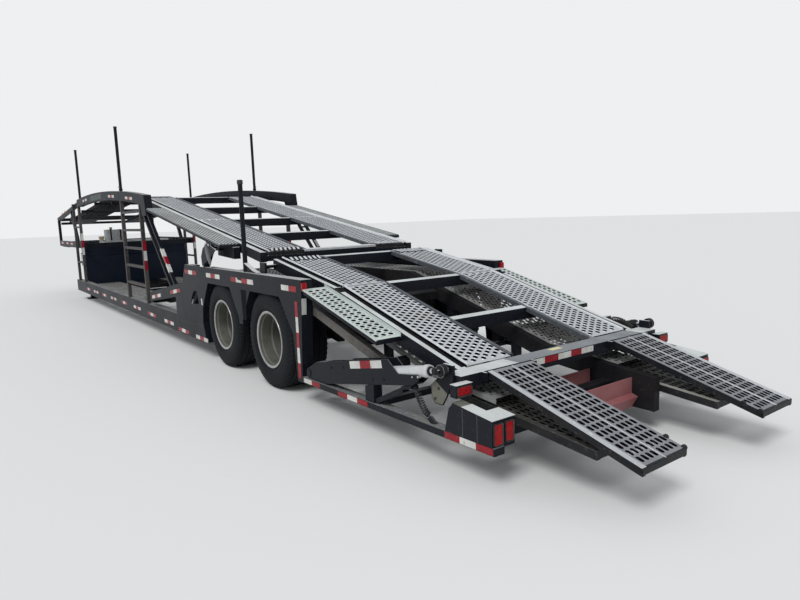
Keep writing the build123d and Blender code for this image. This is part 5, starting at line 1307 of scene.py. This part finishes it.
parts = [
    coated(laid_round(profile, ARM_PIVOT, ARM_RUN, ARM_MIDDLE_Y), finish) for profile, finish in (
        (CYLINDER_TUBE, cylinder_silver), (CYLINDER_GLAND, cylinder_silver), (CYLINDER_WIPER, dark_steel)
    )
]
for along, radius in ((1.640, 0.013), (1.575, 0.010)):
    port_x, port_z = arm_point(along, 0)
    port = capped([(0, radius), (0.016, radius), (0.016, radius * 0.7), (0.024, radius * 0.7)],
                  port_x, 1.262, port_z - 0.034, 6)
    parts.append(coated(port, polished_rod))
pin_head = capped([(0, 0.034), (0.004, 0.036), (0.007, 0.032)], ARM_PIVOT[0], ARM_FACE_Y, ARM_PIVOT[1])
parts.append(coated(pin_head, frame_dark))
for place in ((0.42, 0.045), (0.62, 0.045), (1.05, -0.055), (1.20, -0.055)):
    x, z = arm_point(*place)
    parts.append(coated(capped([(0, 0.012), (0.005, 0.011)], x, ARM_FACE_Y, z, 6), frame_dark))
cylinder_left = joined(parts)
cylinder_right = mirrored(cylinder_left)
# Painted shade: the right cylinder's silver parts are made dark steel
for slot in cylinder_right.material_slots:
    slot.material = dark_steel if slot.material == cylinder_silver else slot.material
for side, cylinder in (("left", cylinder_left), ("right", cylinder_right)):
    finish_piece(cylinder, f"lift_cylinder_{side}", f"lift_arm_{side}")

# Rod ends
# The rods' forged eyes, painted and greasy, with a washer on each pin. The rods themselves stay chromed.
EYE_CENTRE = (-7.290, 0.672)
NECK_START = (EYE_CENTRE[0] - ARM_RUN[0] * 0.085, EYE_CENTRE[1] - ARM_RUN[1] * 0.085)
EYE_RING = ((-0.0207, 0.0295), (-0.0207, 0.043), (-0.018, 0.0465), (0.018, 0.0465), (0.0207, 0.043), (0.0207, 0.0295))
EYE_NECK = ((0.000, 0.0228), (0.002, 0.0265), (0.014, 0.0275), (0.048, 0.0300), (0.048, 0.0228))
ring = coated(turned(EYE_RING, EYE_CENTRE[0], ARM_MIDDLE_Y, EYE_CENTRE[1], 36), dark_steel)
neck = coated(laid_round(EYE_NECK, NECK_START, ARM_RUN, ARM_MIDDLE_Y), dark_steel)
paired(joined([ring, neck]), "lift_rod_eye", "lift_rod")
washer = capped([(0, 0.037), (0.003, 0.037), (0.005, 0.030)], EYE_CENTRE[0], 1.2586, EYE_CENTRE[1], 28)
paired(coated(washer, dark_steel), "lift_rod_washer", "rear_deck")

# Link plates
# The plate that hangs from each rear lift eye is primed in a dusty olive grey, and bolted on.
primer_olive = weathered(
    "primer_olive", (0.155, 0.155, 0.125), 0.65, patch=(0.085, 0.08, 0.065), speck=(0.25, 0.24, 0.20),
    amounts=(0.5, 0.3), scales=(9, 40), bump=0.12,
)
# The plate's edge, from the eye's centre
LINK_EDGE = ((0.014, -0.172), (0.017, -0.186), (0.066, -0.262), (0.140, -0.264), (0.175, -0.236), (0.181, -0.142),
             (0.140, -0.100))
LINK_INNER_Y, LINK_OUTER_Y = 1.1849, 1.1864
link_face = plate([(EYE_CENTRE[0] + x, EYE_CENTRE[1] + z) for x, z in LINK_EDGE], LINK_INNER_Y, LINK_OUTER_Y)
bolts = [coated(capped([(0, 0.011), (0.006, 0.010)], x, LINK_OUTER_Y, z, 6), frame_rusty)
         for x, z in ((-7.150, 0.440), (-7.190, 0.520))]
paired(joined([coated(link_face, primer_olive), *bolts]), "link_face", "rear_deck")

# Deck edges
# A dark plate of painted shade lies where the rail's flange is cut away beside the rear deck's bend, and a
# narrow grey angle runs along the inner edge of every track.
NOTCH = ((-5.595, 0.990), (-5.595, 1.0495), (-5.700, 1.0495), (-5.700, 0.990))
ANGLE_SECTION = ((0.452, 0.001), (0.486, 0.001), (0.486, -0.004), (0.456, -0.004), (0.456, -0.040), (0.452, -0.040))
# Painted shade: a dark plate where the flange's cut-away gap shows shadow
notch = cover(NOTCH, REAR_DECK_TOP[1:], 0.0012, 0.0012)
paired(coated(notch, painted_shade_dark), "flange_notch", "rear_deck")
for track_name, track_line, track_body, joints, _ in TRACKS:
    angle = carried(cut_line(track_line, joints[0] - 0.02, joints[-1] + 0.04), ANGLE_SECTION)
    paired(coated(angle, rail_grey), f"{track_name}_angle", track_body)

# Lower deck rails
# A folded channel outboard of each track where the lower deck falls to the tail, on short stubs. It is
# thick with road dirt.
rail_dirty = weathered(
    "rail_dirty", (0.125, 0.118, 0.108), 0.62, patch=(0.050, 0.045, 0.040), speck=(0.24, 0.23, 0.21),
    amounts=(0.8, 0.35), scales=(6, 26), bump=0.3,
)
RAIL_LINE = cut_line(LOWER_DECK_TOP, -5.290, -6.560)
RAIL_INNER_Y, RAIL_OUTER_Y = 1.120, 1.172
RAIL_DEPTH, RAIL_WALL = 0.085, 0.006
RAIL_STUBS = (-5.420, -6.000, -6.520)
rail = carried(RAIL_LINE, [
    (RAIL_OUTER_Y, 0), (RAIL_OUTER_Y, -RAIL_DEPTH), (RAIL_INNER_Y, -RAIL_DEPTH),
    (RAIL_INNER_Y, -RAIL_DEPTH + RAIL_WALL), (RAIL_OUTER_Y - RAIL_WALL, -RAIL_DEPTH + RAIL_WALL),
    (RAIL_OUTER_Y - RAIL_WALL, -RAIL_WALL), (RAIL_INNER_Y, -RAIL_WALL), (RAIL_INNER_Y, 0),
])
parts = [coated(rail, rail_dirty)]
for x in RAIL_STUBS:
    z = cut_line(LOWER_DECK_TOP, x, x - 0.001)[0][1]
    stub = plate([(x + 0.030, z - 0.004), (x - 0.030, z - 0.026), (x - 0.030, z - 0.078), (x + 0.030, z - 0.056)],
                 LOWER_OUTER_Y - 0.008, RAIL_OUTER_Y - 0.004, 0.003)
    parts.append(coated(stub, underside))
paired(joined(parts), "lower_rail", "trailer")

# Deck joint teeth
# Where the two upper decks meet, each track ends in a plate with slanting pressed bars, so that a wheel
# crosses the gap: pale bars on a dark plate of painted shade.
TEETH, TOOTH_STEP = 7, 0.0545
# Each end: name of its body, line of the deck's top, x of the plate's front and rear
JOINT_ENDS = (
    ("front_deck", FRONT_DECK_TOP, -3.890, -4.012),
    ("rear_deck", REAR_DECK_TOP[:2], -4.352, -4.500),
)
for end_body, line, x0, x1 in JOINT_ENDS:
    # The plate under the bars is painted shade
    base = cover([(x0, 0.506), (x0, 0.912), (x1, 0.912), (x1, 0.506)], line, 0.0025, 0.004)
    bar_outline = [(x0 - 0.008, 0.510), (x0 - 0.008, 0.537), (x1 + 0.008, 0.575), (x1 + 0.008, 0.548)]
    bars = repeated(cover(bar_outline, line, 0.0040, 0.0063), TEETH, (0, TOOTH_STEP, 0))
    paired(joined([coated(base, painted_shade_dark), coated(bars, bright_edge)]), f"{end_body}_teeth", end_body)

# Front deck's end
# A dark plate of painted shade closes each track's end, and the last crossbar has a worn bright edge.
# Painted shade: the plate darkens the gap under the plank's end, where the bar's top would show
end_plate = plate([(-4.0125, 1.3720), (-4.0125, 1.3280), (-4.0185, 1.3270), (-4.0185, 1.3710)], 0.502, 0.948)
paired(coated(end_plate, dark_steel), "track_end_plate", "front_deck")
bar_edge = plate([(-4.0200, 1.3500), (-4.0200, 1.3725), (-4.0215, 1.3725), (-4.0215, 1.3500)], -0.500, 0.500)
finish_piece(coated(bar_edge, galvanised), "crossbar_edge", "front_deck")

# Walkway grooves
# Near-black painted shade lies in the grooves between the walkways' ribs.
WALK_DROP = 0.015
GROOVES_Y = (1.080, 1.120, 1.160, 1.200, 1.240)
GROOVE_WIDTH = 0.020
walk_line = [(x, z - WALK_DROP) for x, z in cut_line(FRONT_DECK_TOP, -0.520, -3.430)]
grooves = [carried(walk_line, oblong(y, y + GROOVE_WIDTH, 0.0010, 0.0002)) for y in GROOVES_Y]
paired(joined([coated(groove, painted_shade_dark) for groove in grooves]), "walkway_grooves", "front_deck")

# Leaf covers
# A domed oval cover on the guard leaf outside each front lift eye, with two bright grease caps.
LEAF_CENTRE = (-3.045, 1.335)
LEAF_RADII = (0.150, 0.062)
LEAF_TILT = radians(58)
LEAF_FACE_Y = 1.2878
LEAF_BULGE = 0.010
# The dome's steps: how far each ring shrinks and how far it rises, in shares
DOME_STEPS = ((0.96, 0.10), (0.88, 0.30), (0.76, 0.24), (0.58, 0.20), (0.33, 0.12))
GREASE_CAPS = ((-3.015, 1.470), (-3.085, 1.452))
leaf_paint = weathered(
    "leaf_paint", (0.035, 0.036, 0.037), 0.24, patch=(0.16, 0.155, 0.145), speck=(0.3, 0.29, 0.27),
    amounts=(0.5, 0.2), scales=(9, 40), bump=0.06,
)
bpy.ops.object.select_all(action="DESELECT")
bpy.ops.mesh.primitive_circle_add(vertices=36, radius=1, fill_type="NGON")
dome = bpy.context.object
edit_all()
for shrink, out in DOME_STEPS:
    extruded(0, 0, out)
    bpy.ops.transform.resize(value=(shrink, shrink, 1))
edit_done()
for v in dome.data.vertices:
    a, b, out = v.co.x * LEAF_RADII[0], v.co.y * LEAF_RADII[1], v.co.z * LEAF_BULGE
    v.co = (LEAF_CENTRE[0] + a * cos(LEAF_TILT) - b * sin(LEAF_TILT), LEAF_FACE_Y + out,
            LEAF_CENTRE[1] + a * sin(LEAF_TILT) + b * cos(LEAF_TILT))
dome.data.flip_normals()
for face in dome.data.polygons:
    face.use_smooth = True
parts = [coated(dome, leaf_paint)]
for x, z in GREASE_CAPS:
    parts.append(coated(capped([(0, 0.016), (0.004, 0.015), (0.008, 0.009)], x, LEAF_FACE_Y, z, 20), polished_rod))
paired(joined(parts), "leaf_cover", "front_deck")

# Power pack fittings
# Two steel straps hold the tank. A filler neck with a tan cap stands beside it on the shelf, and a smaller
# one on the tank.
cap_tan = weathered(
    "cap_tan", (0.42, 0.36, 0.25), 0.5, patch=(0.25, 0.2, 0.14), amounts=(0.5, 0.2), scales=(14, 60), bump=0.08,
)
STRAPS_Y, STRAP_WIDTH = (0.305, 0.520), 0.032
STRAP = ((5.6955, 1.362), (5.6995, 1.362), (5.6995, 1.6205), (5.9805, 1.6205), (5.9805, 1.362), (5.9845, 1.362),
         (5.9845, 1.6245), (5.6955, 1.6245))
NECK = ((0, 0.055), (0.060, 0.050), (0.066, 0.062), (0.105, 0.062), (0.112, 0.050))
# Each filler neck: its place and its size against the larger one
NECKS = (((5.800, 0.735, 1.358), 1.0), ((5.850, 0.500, 1.616), 0.55))


def stood(piece, x, y, z):
    """A turned piece, made at the origin along Y, stood up on its start at a point."""
    joined([piece])
    for v in piece.data.vertices:
        a, along, b = v.co
        v.co = (x + a, y - b, z + along)
    return piece


parts = [coated(plate(STRAP, y, y + STRAP_WIDTH), dark_steel) for y in STRAPS_Y]
for place, scale in NECKS:
    neck = capped([(along * scale, radius * scale) for along, radius in NECK], 0, 0, 0, 28)
    parts.append(coated(stood(neck, *place), cap_tan))
finish_piece(joined(parts), "tank_fittings", "trailer")

# Arch panels
# A dark green-grey pressed panel with round ends on the arch's side, riveted over its lamps' wiring.
panel_green = weathered(
    "panel_green", (0.045, 0.062, 0.058), 0.4, patch=(0.11, 0.11, 0.10), speck=(0.18, 0.17, 0.16),
    amounts=(0.4, 0.25), scales=(5, 34), bump=0.1, gloss=0.2,
)
PANEL_ENDS = ((3.560, 2.272), (2.600, 2.283))
PANEL_R = 0.052
PANEL_INNER_Y, PANEL_OUTER_Y = 1.2952, 1.2985
RIVETS, RIVET_START, RIVET_STEP, RIVET_Z = 4, 3.500, 0.28, 2.310
outline = []
for (x, z), first in zip(PANEL_ENDS, (-90, 90)):
    for k in range(9):
        turn = radians(first + 22.5 * k)
        outline.append((x + PANEL_R * cos(turn), z + PANEL_R * sin(turn)))
parts = [coated(plate(outline, PANEL_INNER_Y, PANEL_OUTER_Y), panel_green)]
for k in range(RIVETS):
    rivet = capped([(0, 0.006), (0.0015, 0.004)], RIVET_START - RIVET_STEP * k, PANEL_OUTER_Y, RIVET_Z, 10)
    parts.append(coated(rivet, dark_steel))
paired(joined(parts), "arch_panel", "trailer")

# Side body fittings
# A dark plate of painted shade for the slot up the middle of the plate between the wheels, the cut-out's
# latch, and a welded seam along the body's foot.
BODY_FACE_Y = 1.2951
slot_shade = plate([(-4.010, 0.985), (-4.150, 0.985), (-4.118, 0.655), (-4.030, 0.655)], BODY_FACE_Y, 1.2964)
latch = plate([(-2.700, 0.772), (-2.736, 0.772), (-2.744, 0.688), (-2.708, 0.688)], BODY_FACE_Y, 1.2975, 0.001)
latch_knob = capped([(0, 0.014), (0.0015, 0.016), (0.0025, 0.010)], -2.716, 1.2970, 0.757, 16)
seam = plate([(-1.640, 0.380), (-2.720, 0.418), (-2.720, 0.412), (-1.640, 0.374)], BODY_FACE_Y, 1.2968)
paired(joined([
    coated(slot_shade, painted_shade_dark), coated(latch, cover_light), coated(latch_knob, polished_rod),
    coated(seam, frame_rusty),
]), "body_fittings", "trailer")

# Pole fittings
# Each pole stands in a clamped collar with a lock pin, over a pocket's plate, and is closed by a plastic cap.
POLES = ((5.060, 2.165), (1.215, 2.315))
POLE_Y = 1.2375
POLE_TOP = 3.378
MID_POLE_TOP = (-4.050, POLE_Y, 2.108)
COLLAR = ((0, 0.0255), (0, 0.031), (0.004, 0.032), (0.030, 0.032), (0.033, 0.030), (0.033, 0.0255))
POLE_CAP = ((0, 0.0255), (0, 0.030), (0.014, 0.030), (0.020, 0.026), (0.020, 0.0255))
MID_CAP = ((0, 0.0255), (0, 0.031), (0.036, 0.031), (0.044, 0.028), (0.047, 0.020), (0.047, 0))
LOCK_PIN = ((0, 0.007), (0.040, 0.007), (0.040, 0.011), (0.050, 0.011))
POCKET = ((0.045, -0.140), (0.045, -0.030), (-0.045, -0.030), (-0.045, -0.140))
for k, (x, base_z) in enumerate(POLES):
    paired(joined([
        coated(stood(turned(COLLAR, 0, 0, 0, 28), x, POLE_Y, base_z), dark_steel),
        coated(stood(turned(POLE_CAP, 0, 0, 0, 28), x, POLE_Y, POLE_TOP), cord_rubber),
        coated(capped(LOCK_PIN, x, POLE_Y - 0.012, base_z + 0.062, 14), polished_rod),
        coated(plate([(x + a, base_z + b) for a, b in POCKET], 1.2952, 1.2970, 0.0005), dark_steel),
    ]), f"pole_collar_{k}", "trailer")
mid_cap = stood(turned(MID_CAP, 0, 0, 0, 28), *MID_POLE_TOP)
finish_piece(coated(mid_cap, cord_rubber), "mid_pole_cap", "trailer")

# Landing gear drive
# A cross shaft turns both legs; each has a gearbox at its top and the left one a folding crank.
SHAFT_X, SHAFT_Z, SHAFT_END_Y = 5.940, 1.080, 0.990
GEARBOX = ((5.790, 1.010), (5.970, 1.010), (5.985, 1.040), (5.985, 1.130), (5.960, 1.160), (5.790, 1.160))
GEARBOX_Y, GEARBOX_HALF = 1.040, 0.068
CRANK = ((5.925, 1.070), (5.955, 1.070), (5.955, 0.800), (5.925, 0.800))
parts = [coated(capped([(-SHAFT_END_Y, 0.014), (SHAFT_END_Y, 0.014)], SHAFT_X, 0, SHAFT_Z, 16), dark_steel)]
for y in (GEARBOX_Y, -GEARBOX_Y):
    parts.append(coated(plate(GEARBOX, y - GEARBOX_HALF, y + GEARBOX_HALF, 0.006), dark_steel))
crank = plate(CRANK, 1.180, 1.190, 0.003)
stub_shaft = capped([(0, 0.012), (0.085, 0.012)], SHAFT_X, 1.106, SHAFT_Z, 16)
grip = capped([(0, 0.012), (0.004, 0.014), (0.076, 0.014), (0.080, 0.012)], SHAFT_X, 1.102, 0.812, 16)
parts += [coated(crank, cover_light), coated(stub_shaft, dark_steel), coated(grip, cord_rubber)]
finish_piece(joined(parts), "landing_gear_drive", "trailer")

# Neck lamps
# Small amber lamps on the gooseneck's sloped rails.
lens_amber = weathered(
    "lens_amber", (0.62, 0.24, 0.02), 0.2, patch=(0.4, 0.14, 0.01), speck=(0.8, 0.45, 0.2), amounts=(0.4, 0.3),
    scales=(30, 90), bump=0.05,
)
NECK_LAMP = ((0, 0.034), (0.006, 0.034), (0.006, 0.030), (0.010, 0.027), (0.014, 0.016), (0.015, 0))
for k, (x, z) in enumerate(((7.680, 2.062), (7.250, 2.098))):
    lamp_body = turned([(0, 0), *NECK_LAMP], x, NECK_Y, z, 24)
    paired(coated(lamp_body, lens_amber), f"neck_lamp_{k}", "trailer")
